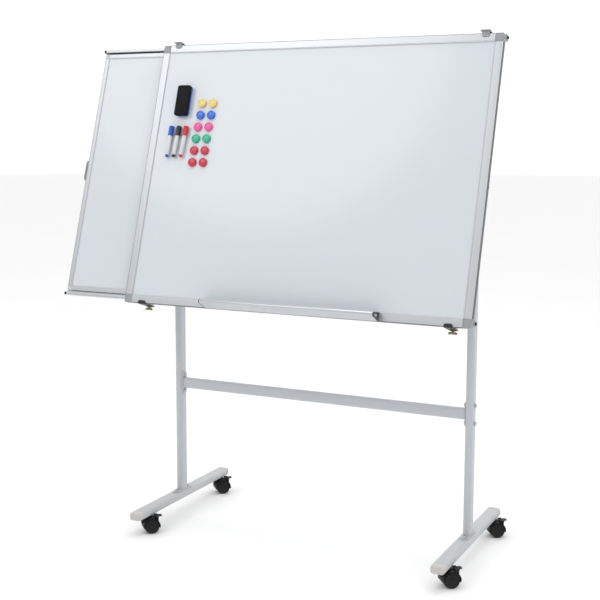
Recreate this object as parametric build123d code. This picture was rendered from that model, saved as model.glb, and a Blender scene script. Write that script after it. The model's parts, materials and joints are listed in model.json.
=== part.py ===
"""Rolling magnetic whiteboard: an H-shaped stand on four braked twin-wheel casters
carries a framed board that leans back on two pivots. A side panel slides out from
behind the board, and a pen tray, an eraser, markers and magnets sit on its front.

Millimetres, +Z up. The origin is on the floor midway between the two posts. The
front faces -Y, and X runs along the board.

Board pieces are modelled upright, with the tilt axis as their own X axis: y is the
depth behind that axis and z the height above it. on_board() then leans them back.
"""
import os

from build123d import *

os.makedirs("parts", exist_ok=True)

# ---------------------------------------------------------------- driving dimensions
# Whole object
board_width = 1200.0
board_height = 900.0
board_lean = 17.5            # degrees back from upright
pivot_height = 1183.5        # tilt axis above the floor
setback = 110.0              # tilt axis to the front of the board frame
arm_inset = 70.0             # board's side edge to the middle of a post
foot_length = 610.0          # over both end caps

# Stand tubes: the posts and the crossbar are flat ovals, the feet flat with rounded edges
post_width = 25.0
post_depth = 45.0
tube_wall = 1.5
foot_width = 45.0
foot_height = 25.0
foot_rounding = 8.0
foot_cap_length = 28.0
foot_cap_corner = 13.0       # in plan
foot_cap_nose = 7.0          # from the side
foot_plug_length = 8.0
crossbar_height = 38.0
crossbar_depth = 20.0
crossbar_level = 474.5       # centre of the crossbar above the floor
flange_thickness = 3.0
base_flange_margin = 7.5     # flange past the base bolt heads
base_flange_side = 2.5       # base flange past the post's flat sides
end_flange_margin = 6.0      # flange past the crossbar's bolt heads
end_flange_side = 4.0        # end flange past the crossbar's flat sides

# Stand bolts and nuts
bolt_diameter = 8.0
bolt_hole_clearance = 0.25
bolt_head_diameter = 15.0
bolt_head_height = 5.5
nut_diameter = 14.0
nut_height = 7.0
bar_bolt_gap = 2.0           # bolt head to the crossbar tube
base_bolt_gap = 7.0          # bolt head to the post tube

# Casters
wheel_diameter = 50.0
wheel_width = 16.0
wheel_rounding = 3.0
wheel_bore_clearance = 0.05
axle_diameter = 6.0
caster_trail = 22.0          # swivel axis to axle
caster_inset = 62.0          # foot end to swivel axis
foot_clearance = 8.5         # top of a wheel to the underside of its foot
web_thickness = 15.0
wheel_side_gap = 0.8
hood_gap = 1.2
hood_thickness = 2.0
caster_boss_diameter = 24.0
boss_gap = 5.0               # top of the swivel boss to the underside of the foot
stem_diameter = 11.0
stem_collar_diameter = 16.0
stem_drop = 20.0             # stem's lower end below the underside of the foot
socket_diameter = 16.0
socket_headroom = 5.0        # top of the socket to the top of the foot
socket_flange_diameter = 23.0
socket_flange_thickness = 2.0
running_clearance = 0.06     # radial, in bores that turn
caster_turn = {"lf": 45.0, "lr": 45.0, "rf": 40.0, "rr": 35.0}   # trail, degrees from +X

# Caster brake lever
lever_width = 36.0           # over both brake shoes
lever_tab_width = 18.0
lever_tab_rounding = 4.0
lever_thickness = 3.0
lever_inner = 11.0           # start of the lever, outward from the axle
lever_shoulder = 25.0        # start of the narrower tab
lever_outer = 37.0
lever_lug_width = 8.0
lever_slot_clearance = 0.5
lever_pivot_out = 16.0       # lever pivot, outward from and above the axle
lever_pivot_up = 14.0
lever_pin_diameter = 4.0
shoe_gap = 1.4               # brake shoe to wheel tread when the lever is up
shoe_inner = 18.0
shoe_outer = 23.0

# Tilt pivots
lug_radius = 18.0
lug_drop = 30.0              # tilt axis to the top of the post tube
head_collar_height = 4.0
head_plug_length = 36.0
ear_thickness = 4.0
ear_radius = 16.0
ear_root_height = 70.0
ear_gap = 0.3
pivot_diameter = 10.0
pivot_head_diameter = 19.0
pivot_head_height = 6.5
knob_diameter = 44.0
knob_thickness = 16.0
knob_hub_diameter = 22.0
knob_hub_height = 8.0
knob_lobes = 6
knob_bore_depth = 20.0
face_gap = 0.3               # between faces that turn past each other

# Carrier arms, their top hooks, bottom clamps and thumb screws
arm_width = 25.0
arm_depth = 20.0
arm_rounding = 3.0
arm_solid_end = 26.0
hook_width = 30.0
hook_lip_width = 24.0
hook_shift = 12.0            # hook outward of its arm
hook_brim = 7.0              # plate in front of the lip
hook_thickness = 2.5
hook_clearance = 2.0         # hook plate above the guide channel
hook_lip_reach = 12.0        # below the top of the board frame
hook_plug_length = 22.0
hook_plug_clearance = 0.1
clamp_width = 27.0
clamp_thickness = 3.0
clamp_lip_reach = 9.0        # above the bottom of the board frame
clamp_lip_thickness = 4.0
hook_lip_rounding = 7.0
clamp_lip_rounding = 5.0
screw_diameter = 6.0
screw_length = 22.0
screw_collar_diameter = 20.0
screw_collar_height = 2.0
screw_neck_diameter = 9.0
screw_neck_height = 2.5
wing_span = 30.0
wing_height = 8.0
wing_thickness = 5.0

# Board frame and its sandwich panel
frame_face = 28.0
frame_depth = 17.0
frame_lip = 2.5              # frame metal in front of the writing sheet
frame_rounding = 2.0
panel_bite = 9.0             # panel edge held inside the frame
sheet_thickness = 0.8
core_thickness = 8.6
backing_thickness = 0.6
corner_rounding = 4.0

# Sliding side panel
side_width = 400.0
side_reach = 256.0           # how far it is pulled out past the board's left edge
side_face = 18.0
side_depth = 14.0
side_lip = 2.0
side_bite = 6.0
side_core_thickness = 6.2
side_board_gap = 4.0         # board frame to side panel frame
guide_bar_height = 11.0
guide_bar_depth = 18.0
guide_bar_length = 520.0
guide_bar_wall = 1.8
runner_height = 4.5
runner_depth = 8.0
side_rise = 6.0              # side panel's centre above the board's centre
channel_wall = 1.5
channel_clearance = 0.5
channel_top_gap = 1.0
end_knob_length = 10.0
end_knob_height = 9.0
end_knob_depth = 15.0
channel_plug_thickness = 1.2
channel_plug_length = 12.0
channel_knob_diameter = 9.0
channel_knob_length = 4.0
handle_length = 75.0
handle_reach = 9.0
handle_depth = 12.0
handle_taper = 10.0

# Pen tray
tray_length = 600.0
tray_offset = 12.0           # tray centre from the board's centre
tray_height = 28.0           # of its back, which lies on the bottom rail
tray_depth = 48.0
tray_nose_diameter = 15.0    # round front edge
tray_nose_level = 15.0       # its middle above the bottom of the back
tray_wall = 1.6
back_strip = 1.0             # straight part of its section next to the rail
tray_mouth_start = 5.0       # opening in the top of the tray, from its back
tray_mouth = 32.0
tray_cap_thickness = 3.0
tray_slot_height = 8.0
tray_slot_level = 1.0        # above the middle of the back
tray_slot_length = 22.0

# Eraser, markers and magnets; places are from the board's left edge and its centre height
eraser_width = 50.0
eraser_length = 106.0
eraser_felt_thickness = 9.0
eraser_grip_thickness = 14.0
eraser_rounding = 8.0
eraser_place = (116.0, 246.0)
marker_length = 108.0
marker_cap_diameter = 18.0
marker_cap_length = 34.0
marker_barrel_diameter = 14.0
marker_plug_length = 8.0
marker_plug_diameter = 12.0
marker_gap = 0.3
marker_level = 104.0         # centre of the markers
marker_places = {"blue": (83.0, 1.0), "black": (110.0, 3.0), "red": (138.0, 3.0)}
magnet_diameter = 30.0
magnet_height = 9.0
magnet_rounding = 3.5
magnet_pitch_x = 41.0
magnet_pitch_z = 41.0
magnet_first = (186.0, 239.0)
magnet_rows = [("yellow", 0.0), ("blue", 0.0), ("pink", -3.0),
               ("green", -4.0), ("red", -4.0), ("red", -4.0)]

# ---------------------------------------------------------------- derived places
half_width = board_width / 2
half_height = board_height / 2
post_x = half_width - arm_inset
foot_bottom = wheel_diameter + foot_clearance
foot_top = foot_bottom + foot_height
foot_centre = foot_bottom + foot_height / 2
post_foot = foot_top + flange_thickness
post_top = pivot_height - lug_drop
caster_y = foot_length / 2 - caster_inset
foot_tube_length = foot_length - 2 * foot_cap_length
lug_thickness = arm_width - 2 * (ear_thickness + ear_gap)
bar_bolt_spacing = crossbar_height + bolt_head_diameter + 2 * bar_bolt_gap
end_flange_height = bar_bolt_spacing + bolt_head_diameter + 2 * end_flange_margin
end_flange_width = crossbar_depth + 2 * end_flange_side
base_bolt_spacing = post_depth + bolt_head_diameter + 2 * base_bolt_gap
base_flange_length = base_bolt_spacing + bolt_head_diameter + 2 * base_flange_margin
base_flange_width = post_width + 2 * base_flange_side
caster_boss_top = foot_bottom - boss_gap
stem_bottom = foot_bottom - stem_drop
socket_depth = foot_height - socket_headroom
wheel_radius = wheel_diameter / 2
hood_inner = wheel_radius + hood_gap
hood_outer = hood_inner + hood_thickness
wheel_inner_face = web_thickness / 2 + wheel_side_gap
wheel_outer_face = wheel_inner_face + wheel_width

front = -setback
frame_back = front + frame_depth
panel_thickness = sheet_thickness + core_thickness + backing_thickness
sheet_front = front + frame_lip

bar_middle = frame_back + channel_wall + channel_clearance + guide_bar_depth / 2
channel_inside = guide_bar_depth + 2 * channel_clearance
channel_back = frame_back + 2 * channel_wall + channel_inside
side_front = frame_back + side_board_gap
side_height = (board_height - 2 * side_rise
               - 2 * guide_bar_height - 2 * runner_height)
side_left = -half_width - side_reach
side_middle = side_left + side_width / 2
bar_edge = side_height / 2 + runner_height       # inner face of a guide bar
bar_outside = bar_edge + guide_bar_height
channel_outside = bar_outside + channel_top_gap + channel_wall

arm_front = channel_back
arm_back = arm_front + arm_depth
arm_middle = arm_front + arm_depth / 2
arm_bottom = -half_height
arm_top = side_rise + channel_outside + hook_clearance


# ---------------------------------------------------------------- helpers
def save(name, *shapes):
    """Write one node, which may hold several separate solids."""
    solids = [solid for shape in shapes for solid in shape.solids()]
    export_step(solids[0] if len(solids) == 1 else Compound(solids), f"parts/{name}.step")


def on_board(shape):
    """Lean an upright board piece back about the tilt axis."""
    return Pos(0, 0, pivot_height) * Rot(-board_lean, 0, 0) * shape


def both_sides(shape):
    """A piece and its mirror image across the middle of the stand."""
    return [shape, mirror(shape, about=Plane.YZ)]


def block(x_range, y_range, z_range):
    """A box between three pairs of limits."""
    spans = [sorted(pair) for pair in (x_range, y_range, z_range)]
    sizes = [high - low for low, high in spans]
    middle = [(low + high) / 2 for low, high in spans]
    return Pos(*middle) * Box(*sizes)


def rod_x(radius, start, end):
    """A cylinder along X between two places."""
    return Pos((start + end) / 2, 0, 0) * Rot(0, 90, 0) * Cylinder(radius, abs(end - start))


def rod_y(radius, start, end):
    """A cylinder along Y between two places."""
    return Pos(0, (start + end) / 2, 0) * Rot(90, 0, 0) * Cylinder(radius, abs(end - start))


def rod_z(radius, start, end):
    """A cylinder along Z between two heights."""
    return Pos(0, 0, (start + end) / 2) * Cylinder(radius, abs(end - start))


def oval_post(shrink, start, end):
    """An upright flat oval, its long side along Y, made smaller all round by shrink."""
    outline = SlotOverall(post_depth - 2 * shrink, post_width - 2 * shrink, rotation=90)
    return Pos(0, 0, start) * extrude(outline, end - start)


def foot_bar(shrink, start, end):
    """The section of a foot lying along Y: flat, with rounded edges."""
    outline = RectangleRounded(foot_width - 2 * shrink, foot_height - 2 * shrink,
                               foot_rounding - shrink)
    solid = extrude(Plane.XZ * outline, (end - start) / 2, both=True)
    return Pos(0, (start + end) / 2, foot_centre) * solid


def rounded_bar_z(width, depth, rounding, start, end):
    """An upright bar with rounded edges."""
    outline = RectangleRounded(width, depth, rounding)
    return Pos(0, 0, start) * extrude(outline, end - start)


# ---------------------------------------------------------------- stand
def foot():
    """Foot tube with the bolt holes of the post and the two caster socket holes."""
    half = foot_tube_length / 2
    tube = foot_bar(0, -half, half) - foot_bar(tube_wall, -half, half)
    for sign in (-1, 1):
        bolt_hole = rod_z(bolt_diameter / 2 + bolt_hole_clearance, foot_bottom - 1, foot_top + 1)
        tube -= Pos(0, sign * base_bolt_spacing / 2, 0) * bolt_hole
        socket_hole = rod_z(socket_diameter / 2, foot_bottom - 1, foot_centre)
        tube -= Pos(0, sign * caster_y, 0) * socket_hole
    return tube


def foot_end_cap():
    """Plastic end of a foot at +Y: rounded in plan and from the side, with a plug."""
    inner_end = foot_tube_length / 2
    outer_end = foot_length / 2
    body = foot_bar(0, inner_end, outer_end)
    middle = (inner_end + outer_end) / 2
    plan = Pos(0, middle - foot_cap_corner / 2, 0) * extrude(
        RectangleRounded(foot_width, foot_cap_length + foot_cap_corner, foot_cap_corner),
        foot_top + 1)
    side = extrude(
        Plane.YZ * Pos(middle - foot_cap_nose, foot_centre)
        * RectangleRounded(foot_cap_length + 2 * foot_cap_nose, foot_height, foot_cap_nose),
        foot_width, both=True)
    plug = foot_bar(tube_wall, inner_end - foot_plug_length, inner_end)
    return (body & plan & side) + plug


def post():
    """Post tube welded to its base flange, with the crossbar's bolt holes."""
    tube = oval_post(0, post_foot, post_top) - oval_post(tube_wall, post_foot, post_top)
    flange = Pos(0, 0, foot_top) * extrude(
        SlotOverall(base_flange_length, base_flange_width, rotation=90), flange_thickness)
    solid = tube + flange
    for sign in (-1, 1):
        hole = rod_z(bolt_diameter / 2 + bolt_hole_clearance, foot_top - 1, post_foot + 1)
        solid -= Pos(0, sign * base_bolt_spacing / 2, 0) * hole
        cross_hole = rod_x(bolt_diameter / 2 + bolt_hole_clearance, -post_width, post_width)
        solid -= Pos(0, 0, crossbar_level + sign * bar_bolt_spacing / 2) * cross_hole
    return solid


def crossbar():
    """Oval crossbar tube with a flange plate welded to each end."""
    reach = post_x - post_width / 2
    inner_reach = reach - flange_thickness
    outline = Plane.YZ * SlotOverall(crossbar_height, crossbar_depth, rotation=90)
    hollow = Plane.YZ * SlotOverall(
        crossbar_height - 2 * tube_wall, crossbar_depth - 2 * tube_wall, rotation=90)
    tube = extrude(outline, inner_reach, both=True) - extrude(hollow, inner_reach, both=True)
    plate = Plane.YZ * SlotOverall(end_flange_height, end_flange_width, rotation=90)
    solid = tube
    for sign in (-1, 1):
        flange = extrude(plate, flange_thickness / 2, both=True)
        for step in (-1, 1):
            hole = rod_x(bolt_diameter / 2 + bolt_hole_clearance, -flange_thickness,
                         flange_thickness)
            flange -= Pos(0, 0, step * bar_bolt_spacing / 2) * hole
        solid += Pos(sign * (reach - flange_thickness / 2), 0, 0) * flange
    return Pos(0, 0, crossbar_level) * solid


def stand_bolt(grip):
    """Dome-head bolt along +Z: the head sits on z = 0 and the shank goes down."""
    dome = Pos(0, 0, bolt_head_height / 2) * Cylinder(bolt_head_diameter / 2, bolt_head_height)
    dome = fillet(dome.faces().sort_by(Axis.Z)[-1].edges(), bolt_head_height * 0.7)
    socket = Pos(0, 0, bolt_head_height - 1.2) * extrude(RegularPolygon(2.9, 6), 3)
    return dome - socket + rod_z(bolt_diameter / 2, -grip - nut_height * 0.8, 0)


def stand_nut():
    """Hexagon cap nut along -Z: it starts at z = 0, and is bored for the shank."""
    hexagon = extrude(RegularPolygon(nut_diameter / 2, 6), -nut_height * 0.6)
    dome = rod_z(nut_diameter * 0.4, -nut_height, 0)
    dome = fillet(dome.faces().sort_by(Axis.Z)[0].edges(), nut_height * 0.3)
    bore = rod_z(bolt_diameter / 2, -nut_height * 0.8, 0)
    return hexagon + dome - bore


def place_stand_fasteners(piece_for_grip, at_far_side):
    """The crossbar and base fasteners of the right-hand post, then mirrored."""
    pieces = []
    bar_grip = post_width + flange_thickness
    base_grip = foot_height + flange_thickness
    for sign in (-1, 1):
        shift = -bar_grip if at_far_side else 0.0
        across = Pos(post_x - post_width / 2 - flange_thickness, 0,
                     crossbar_level + sign * bar_bolt_spacing / 2)
        pieces.append(across * Rot(0, -90, 0) * Pos(0, 0, shift) * piece_for_grip(bar_grip))
        shift = -base_grip if at_far_side else 0.0
        down = Pos(post_x, sign * base_bolt_spacing / 2, post_foot + shift)
        pieces.append(down * piece_for_grip(base_grip))
    return [copy for piece in pieces for copy in both_sides(piece)]


def caster_socket():
    """Plastic socket pressed into the foot from below, with a flange under the tube."""
    body = rod_z(socket_diameter / 2, foot_bottom, foot_bottom + socket_depth)
    flange = rod_z(socket_flange_diameter / 2, foot_bottom - socket_flange_thickness, foot_bottom)
    bore = rod_z(stem_diameter / 2 + running_clearance, 0, foot_bottom + socket_depth - 2)
    return body + flange - bore


def caster_stem():
    """Steel swivel stem with a collar under the socket."""
    pin = rod_z(stem_diameter / 2, stem_bottom, foot_bottom + socket_depth - 2.5)
    collar = rod_z(stem_collar_diameter / 2, caster_boss_top + face_gap,
                   foot_bottom - socket_flange_thickness)
    return chamfer(pin.faces().sort_by(Axis.Z)[-1].edges(), 1) + collar


def post_head():
    """Pivot head on a post: plug in the tube, collar on its rim and a bored lug."""
    plug = oval_post(tube_wall, post_top - head_plug_length, post_top)
    collar = oval_post(0, post_top, post_top + head_collar_height)
    lug = Pos(0, 0, pivot_height) * rod_x(lug_radius, -lug_thickness / 2, lug_thickness / 2)
    neck = block((-lug_thickness / 2, lug_thickness / 2), (-lug_radius, lug_radius),
                 (post_top, pivot_height))
    bore = Pos(0, 0, pivot_height) * rod_x(
        pivot_diameter / 2 + running_clearance, -lug_thickness, lug_thickness)
    return plug + collar + neck + lug - bore


def pivot_bolt():
    """Tilt bolt along X: its head is on the inner side of the right-hand ears."""
    start = -(lug_thickness / 2 + ear_gap + ear_thickness + face_gap)
    end = -start + knob_bore_depth - 1
    head = Pos(start - pivot_head_height, 0, 0) * Rot(0, 90, 0) * extrude(
        RegularPolygon(pivot_head_diameter / 2, 6), pivot_head_height)
    head = chamfer(head.faces().sort_by(Axis.X)[0].edges(), 0.8)
    return head + rod_x(pivot_diameter / 2, start, end)


def tilt_knob():
    """Lobed clamping knob on the outer end of the tilt bolt, along +X."""
    start = lug_thickness / 2 + ear_gap + ear_thickness + face_gap
    hub = rod_x(knob_hub_diameter / 2, start, start + knob_hub_height)
    grip = rod_x(knob_diameter / 2, start + knob_hub_height,
                 start + knob_hub_height + knob_thickness)
    scallop = rod_x(knob_diameter * 0.17, start, start + knob_hub_height + 2 * knob_thickness)
    for step in range(knob_lobes):
        grip -= Rot(360.0 / knob_lobes * step, 0, 0) * Pos(0, knob_diameter * 0.56, 0) * scallop
    grip = fillet(grip.faces().sort_by(Axis.X)[-1].edges(), 2.0)
    bore = rod_x(pivot_diameter / 2 + running_clearance, start - 1, start + knob_bore_depth)
    return hub + grip - bore


# ---------------------------------------------------------------- casters
def about_axle(shape):
    """Move a caster piece from the axle's own frame to the swivel axis and floor."""
    return Pos(caster_trail, 0, wheel_radius) * shape


def caster_housing():
    """Hood over both wheels, the web between them, and the swivel boss."""
    half_hood = wheel_outer_face + wheel_side_gap
    ring = rod_y(hood_outer, -half_hood, half_hood) - rod_y(hood_inner, -half_hood, half_hood)
    web = rod_y(hood_outer, -web_thickness / 2, web_thickness / 2)
    keep = block((-60, 60), (-40, 40), (-wheel_radius * 0.24, 60))
    shell = (ring + web) & keep
    notch_start = shoe_inner - 2
    for sign in (-1, 1):
        shell -= block((notch_start, hood_outer + 1),
                       (sign * (web_thickness / 2), sign * (lever_width / 2 + 1)),
                       (hood_inner * 0.38, hood_outer))
    slot_half = lever_lug_width / 2 + lever_slot_clearance
    shell -= block((lever_pivot_out - 7, hood_outer + 1), (-slot_half, slot_half),
                   (lever_pivot_up - 6, hood_outer + 1))
    pin_hole = Pos(lever_pivot_out, 0, lever_pivot_up) * rod_y(
        lever_pin_diameter / 2 + running_clearance, -web_thickness, web_thickness)
    axle_hole = rod_y(axle_diameter / 2 + running_clearance, -web_thickness, web_thickness)
    shell = about_axle(shell - pin_hole - axle_hole)
    boss = rod_z(caster_boss_diameter / 2, wheel_radius + 10, caster_boss_top)
    boss = chamfer(boss.faces().sort_by(Axis.Z)[-1].edges(), 1.5)
    for sign in (-1, 1):
        space = rod_y(hood_inner, sign * web_thickness / 2, sign * 40)
        boss -= about_axle(space)
    boss &= block((-40, caster_trail), (-40, 40), (0, 100))
    bore = rod_z(stem_diameter / 2 + running_clearance, stem_bottom - 0.5, caster_boss_top + 1)
    return shell + boss - bore


def caster_wheel():
    """One twin wheel on the +Y side: rounded tread and a dished outer face."""
    disc = rod_y(wheel_radius, wheel_inner_face, wheel_outer_face)
    disc = fillet(disc.edges().filter_by(GeomType.CIRCLE), wheel_rounding)
    dish = rod_y(wheel_radius * 0.74, wheel_outer_face - 2.0, wheel_outer_face + 1)
    hub = rod_y(wheel_radius * 0.3, wheel_outer_face - 3.0, wheel_outer_face - 0.4)
    bore = rod_y(axle_diameter / 2 + wheel_bore_clearance,
                 wheel_inner_face - 1, wheel_outer_face - 2.5)
    return disc - dish + hub - bore


def caster_wheels():
    """Both wheels of a caster and the axle pressed into them."""
    wheel = caster_wheel()
    axle = rod_y(axle_diameter / 2, -(wheel_outer_face - 3), wheel_outer_face - 3)
    return [about_axle(piece) for piece in (wheel, mirror(wheel, about=Plane.XZ), axle)]


def caster_brake():
    """Brake lever: tread plate, lug on a cross pin, and a shoe over each wheel."""
    plate_bottom = hood_outer + 0.5
    plate_top = plate_bottom + lever_thickness
    bar = block((lever_inner, lever_shoulder), (-lever_width / 2, lever_width / 2),
                (plate_bottom, plate_top))
    tab = block((lever_inner, lever_outer), (-lever_tab_width / 2, lever_tab_width / 2),
                (plate_bottom, plate_top))
    tab = fillet(tab.edges().filter_by(Axis.Z).group_by(Axis.X)[-1], lever_tab_rounding)
    lug = block((lever_pivot_out - 4, lever_pivot_out + 4),
                (-lever_lug_width / 2, lever_lug_width / 2),
                (lever_pivot_up, plate_bottom + 1))
    eye = Pos(lever_pivot_out, 0, lever_pivot_up) * rod_y(
        4.0, -lever_lug_width / 2, lever_lug_width / 2)
    pin = Pos(lever_pivot_out, 0, lever_pivot_up) * rod_y(
        lever_pin_diameter / 2, -web_thickness / 2, web_thickness / 2)
    solid = bar + tab + lug + eye + pin
    for sign in (-1, 1):
        shoe = block((shoe_inner, shoe_outer),
                     (sign * (web_thickness / 2 + 1.5), sign * lever_width / 2),
                     (0, plate_bottom + 1))
        solid += shoe - rod_y(wheel_radius + shoe_gap, -40, 40)
    return about_axle(solid)


def place_caster(corner, shape):
    """Turn a caster piece to its trail direction and put it under its foot."""
    side = -1 if corner[0] == "l" else 1
    end = -1 if corner[1] == "f" else 1
    return Pos(side * post_x, end * caster_y, 0) * Rot(0, 0, caster_turn[corner]) * shape


# ---------------------------------------------------------------- carrier arms
def carrier_arm():
    """Arm tube up the back of the board, with the two pivot ears welded to it."""
    tube = rounded_bar_z(arm_width, arm_depth, arm_rounding, arm_bottom, arm_top)
    hollow = rounded_bar_z(arm_width - 2 * tube_wall, arm_depth - 2 * tube_wall,
                           arm_rounding - tube_wall, arm_bottom + arm_solid_end, arm_top)
    screw_hole = rod_z(screw_diameter / 2 + running_clearance, arm_bottom - 1,
                       arm_bottom + screw_length + 1)
    solid = Pos(0, arm_middle, 0) * (tube - hollow - screw_hole)
    root = arm_back - tube_wall / 2
    outline = make_hull([*Circle(ear_radius).edges(),
                         *(Pos(root + 1, 0) * Rectangle(2, ear_root_height)).edges()])
    for sign in (-1, 1):
        middle = sign * (lug_thickness / 2 + ear_gap + ear_thickness / 2)
        ear = extrude(Plane.YZ * outline, ear_thickness / 2, both=True)
        solid += Pos(middle, 0, 0) * ear
    return solid - rod_x(pivot_diameter / 2 + running_clearance, -arm_width, arm_width)


def lip(width, rounding, y_range, edge, corner_at):
    """A flat lip between two depths, from edge to corner_at, rounded at corner_at."""
    height = abs(corner_at - edge)
    sign = 1 if corner_at > edge else -1
    outline = RectangleRounded(width, height + rounding, rounding)
    shape = Plane.XZ * Pos(0, (edge + corner_at) / 2 - sign * rounding / 2) * outline
    plate = Pos(0, (y_range[0] + y_range[1]) / 2, 0) * extrude(
        shape, abs(y_range[1] - y_range[0]) / 2, both=True)
    limits = sorted((edge, corner_at))
    return plate & block((-width, width), y_range, limits)


def top_hook():
    """Right-hand hook over the board: plug in the arm, flat strap, lip and brim."""
    plug = rounded_bar_z(arm_width - 2 * (tube_wall + hook_plug_clearance),
                         arm_depth - 2 * (tube_wall + hook_plug_clearance), 1.2,
                         arm_top - hook_plug_length, arm_top)
    strap_top = arm_top + hook_thickness
    pad = block((-arm_width / 2, arm_width / 2), (arm_front, arm_back), (arm_top, strap_top))
    strap = block((hook_shift - hook_width / 2, hook_shift + hook_width / 2),
                  (front - hook_thickness - hook_brim, arm_back), (arm_top, strap_top))
    front_lip = Pos(hook_shift, 0, 0) * lip(
        hook_lip_width, hook_lip_rounding, (front - hook_thickness, front),
        strap_top, half_height - hook_lip_reach)
    return pad + strap + front_lip + Pos(0, arm_middle, 0) * plug


def bottom_clamp():
    """Clamp strap under the board, drawn up against the arm by the thumb screw."""
    strap_bottom = -half_height - clamp_thickness
    strap = block((-clamp_width / 2, clamp_width / 2), (front - clamp_lip_thickness, arm_back),
                  (strap_bottom, -half_height))
    strap = fillet(strap.edges().filter_by(Axis.Z).group_by(Axis.Y)[-1], 5.0)
    front_lip = lip(clamp_width, clamp_lip_rounding, (front - clamp_lip_thickness, front),
                    strap_bottom, -half_height + clamp_lip_reach)
    hole = Pos(0, arm_middle, 0) * rod_z(screw_diameter / 2 + bolt_hole_clearance,
                                         strap_bottom - 1, -half_height + 1)
    return strap + front_lip - hole


def thumb_screw():
    """Wing screw up into the arm's solid end."""
    seat = -half_height - clamp_thickness - face_gap
    shank = rod_z(screw_diameter / 2, seat - 1, arm_bottom + screw_length)
    collar = rod_z(screw_collar_diameter / 2, seat - screw_collar_height, seat)
    neck_bottom = seat - screw_collar_height - screw_neck_height
    neck = rod_z(screw_neck_diameter / 2, neck_bottom - wing_height / 2, seat - 1)
    wings = extrude(Plane.XZ * Pos(0, neck_bottom - wing_height / 2)
                    * RectangleRounded(wing_span, wing_height, wing_height * 0.45),
                    wing_thickness / 2, both=True)
    return Pos(0, arm_middle, 0) * (shank + collar + neck + wings)


# ---------------------------------------------------------------- framed panels
def panel_layer(width, height, face, bite, start, thickness):
    """One layer of the sandwich that the frame holds."""
    return block((-width / 2 + face - bite, width / 2 - face + bite),
                 (start, start + thickness),
                 (-height / 2 + face - bite, height / 2 - face + bite))


def frame_pieces(width, height, face, depth, start, panel):
    """Rails and corner caps of a frame, grooved for the panel.

    The frame is centred on x = z = 0 with its front at y = start.
    """
    middle = start + depth / 2
    run_x = width - 2 * face
    run_z = height - 2 * face
    rail_x = extrude(Plane.YZ * RectangleRounded(depth, face, frame_rounding),
                     run_x / 2, both=True)
    rail_z = Pos(0, 0, -run_z / 2) * extrude(
        RectangleRounded(face, depth, frame_rounding), run_z)
    top = Pos(0, middle, height / 2 - face / 2) * rail_x - panel
    bottom = Pos(0, middle, -height / 2 + face / 2) * rail_x - panel
    left = Pos(-width / 2 + face / 2, middle, 0) * rail_z - panel
    right = Pos(width / 2 - face / 2, middle, 0) * rail_z - panel
    caps = []
    for side in (-1, 1):
        for end in (-1, 1):
            cap = Box(face, depth, face)
            outer = cap.edges().filter_by(Axis.Y).sort_by(
                lambda edge: side * edge.center().X + end * edge.center().Z)[-1]
            cap = fillet(outer, corner_rounding)
            place = Pos(side * (width - face) / 2, middle, end * (height - face) / 2)
            caps.append(place * cap - panel)
    return top, bottom, left, right, caps


def guide_channel():
    """Channel above the side panel: closed on top, open below, along the whole board."""
    top = channel_outside
    outer = block((-half_width, half_width), (frame_back, channel_back),
                  (bar_edge - runner_height + 1, top))
    inner = block((-half_width - 1, half_width + 1),
                  (frame_back + channel_wall, channel_back - channel_wall),
                  (bar_edge - runner_height, top - channel_wall))
    return outer - inner


def channel_plug():
    """Plug in a channel's right-hand end, with a cover plate and a small round knob."""
    low = bar_edge - runner_height + 1
    high = channel_outside - channel_wall
    end = half_width
    inside = block((end - channel_plug_length, end),
                   (frame_back + channel_wall, channel_back - channel_wall), (low, high))
    plate = block((end, end + channel_plug_thickness), (frame_back, channel_back),
                  (low, channel_outside))
    knob = Pos(0, bar_middle, (low + channel_outside) / 2) * rod_x(
        channel_knob_diameter / 2, end + channel_plug_thickness,
        end + channel_plug_thickness + channel_knob_length)
    return inside + plate + knob


def guide_bar():
    """Hollow bar along the side panel's top edge, which runs in the channel."""
    ends = (side_left, side_left + guide_bar_length)
    outer = block(ends, (bar_middle - guide_bar_depth / 2, bar_middle + guide_bar_depth / 2),
                  (bar_edge, bar_outside))
    wall = guide_bar_wall
    inner = block((ends[0] - 1, ends[1] + 1),
                  (bar_middle - guide_bar_depth / 2 + wall,
                   bar_middle + guide_bar_depth / 2 - wall),
                  (bar_edge + wall, bar_outside - wall))
    return outer - inner


def runner_strip():
    """Plastic strip between a guide bar and the side panel's frame."""
    return block((side_left, side_left + side_width),
                 (bar_middle - runner_depth / 2, bar_middle + runner_depth / 2),
                 (bar_edge - runner_height, bar_edge))


def end_knob():
    """Knob on a guide bar's left-hand end, plugged into the bar."""
    middle = (bar_edge + bar_outside) / 2
    knob = block((side_left - end_knob_length, side_left),
                 (bar_middle - end_knob_depth / 2, bar_middle + end_knob_depth / 2),
                 (middle - end_knob_height / 2, middle + end_knob_height / 2))
    knob = fillet(knob.faces().sort_by(Axis.X)[0].edges(), 2.0)
    plug = block((side_left, side_left + end_knob_length),
                 (bar_middle - guide_bar_depth / 2 + guide_bar_wall,
                  bar_middle + guide_bar_depth / 2 - guide_bar_wall),
                 (bar_edge + guide_bar_wall, bar_outside - guide_bar_wall))
    return knob + plug


def top_and_bottom(shape):
    """A piece at the side panel's top edge and its mirror image at the bottom edge."""
    return [Pos(0, 0, side_rise) * copy for copy in (shape, mirror(shape, about=Plane.XY))]


def pull_handle():
    """Low grip on the side panel's left edge, tapered at both ends."""
    half = handle_length / 2
    outline = Polyline((0, -half), (-handle_reach, -half + handle_taper),
                       (-handle_reach, half - handle_taper), (0, half), close=True)
    grip = extrude(Plane.XZ * make_face(outline), handle_depth / 2, both=True)
    grip = fillet(grip.faces().sort_by(Axis.X)[0].edges().filter_by(Axis.Z), 2.0)
    return Pos(side_left, side_front + side_depth / 2, side_rise) * grip


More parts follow.
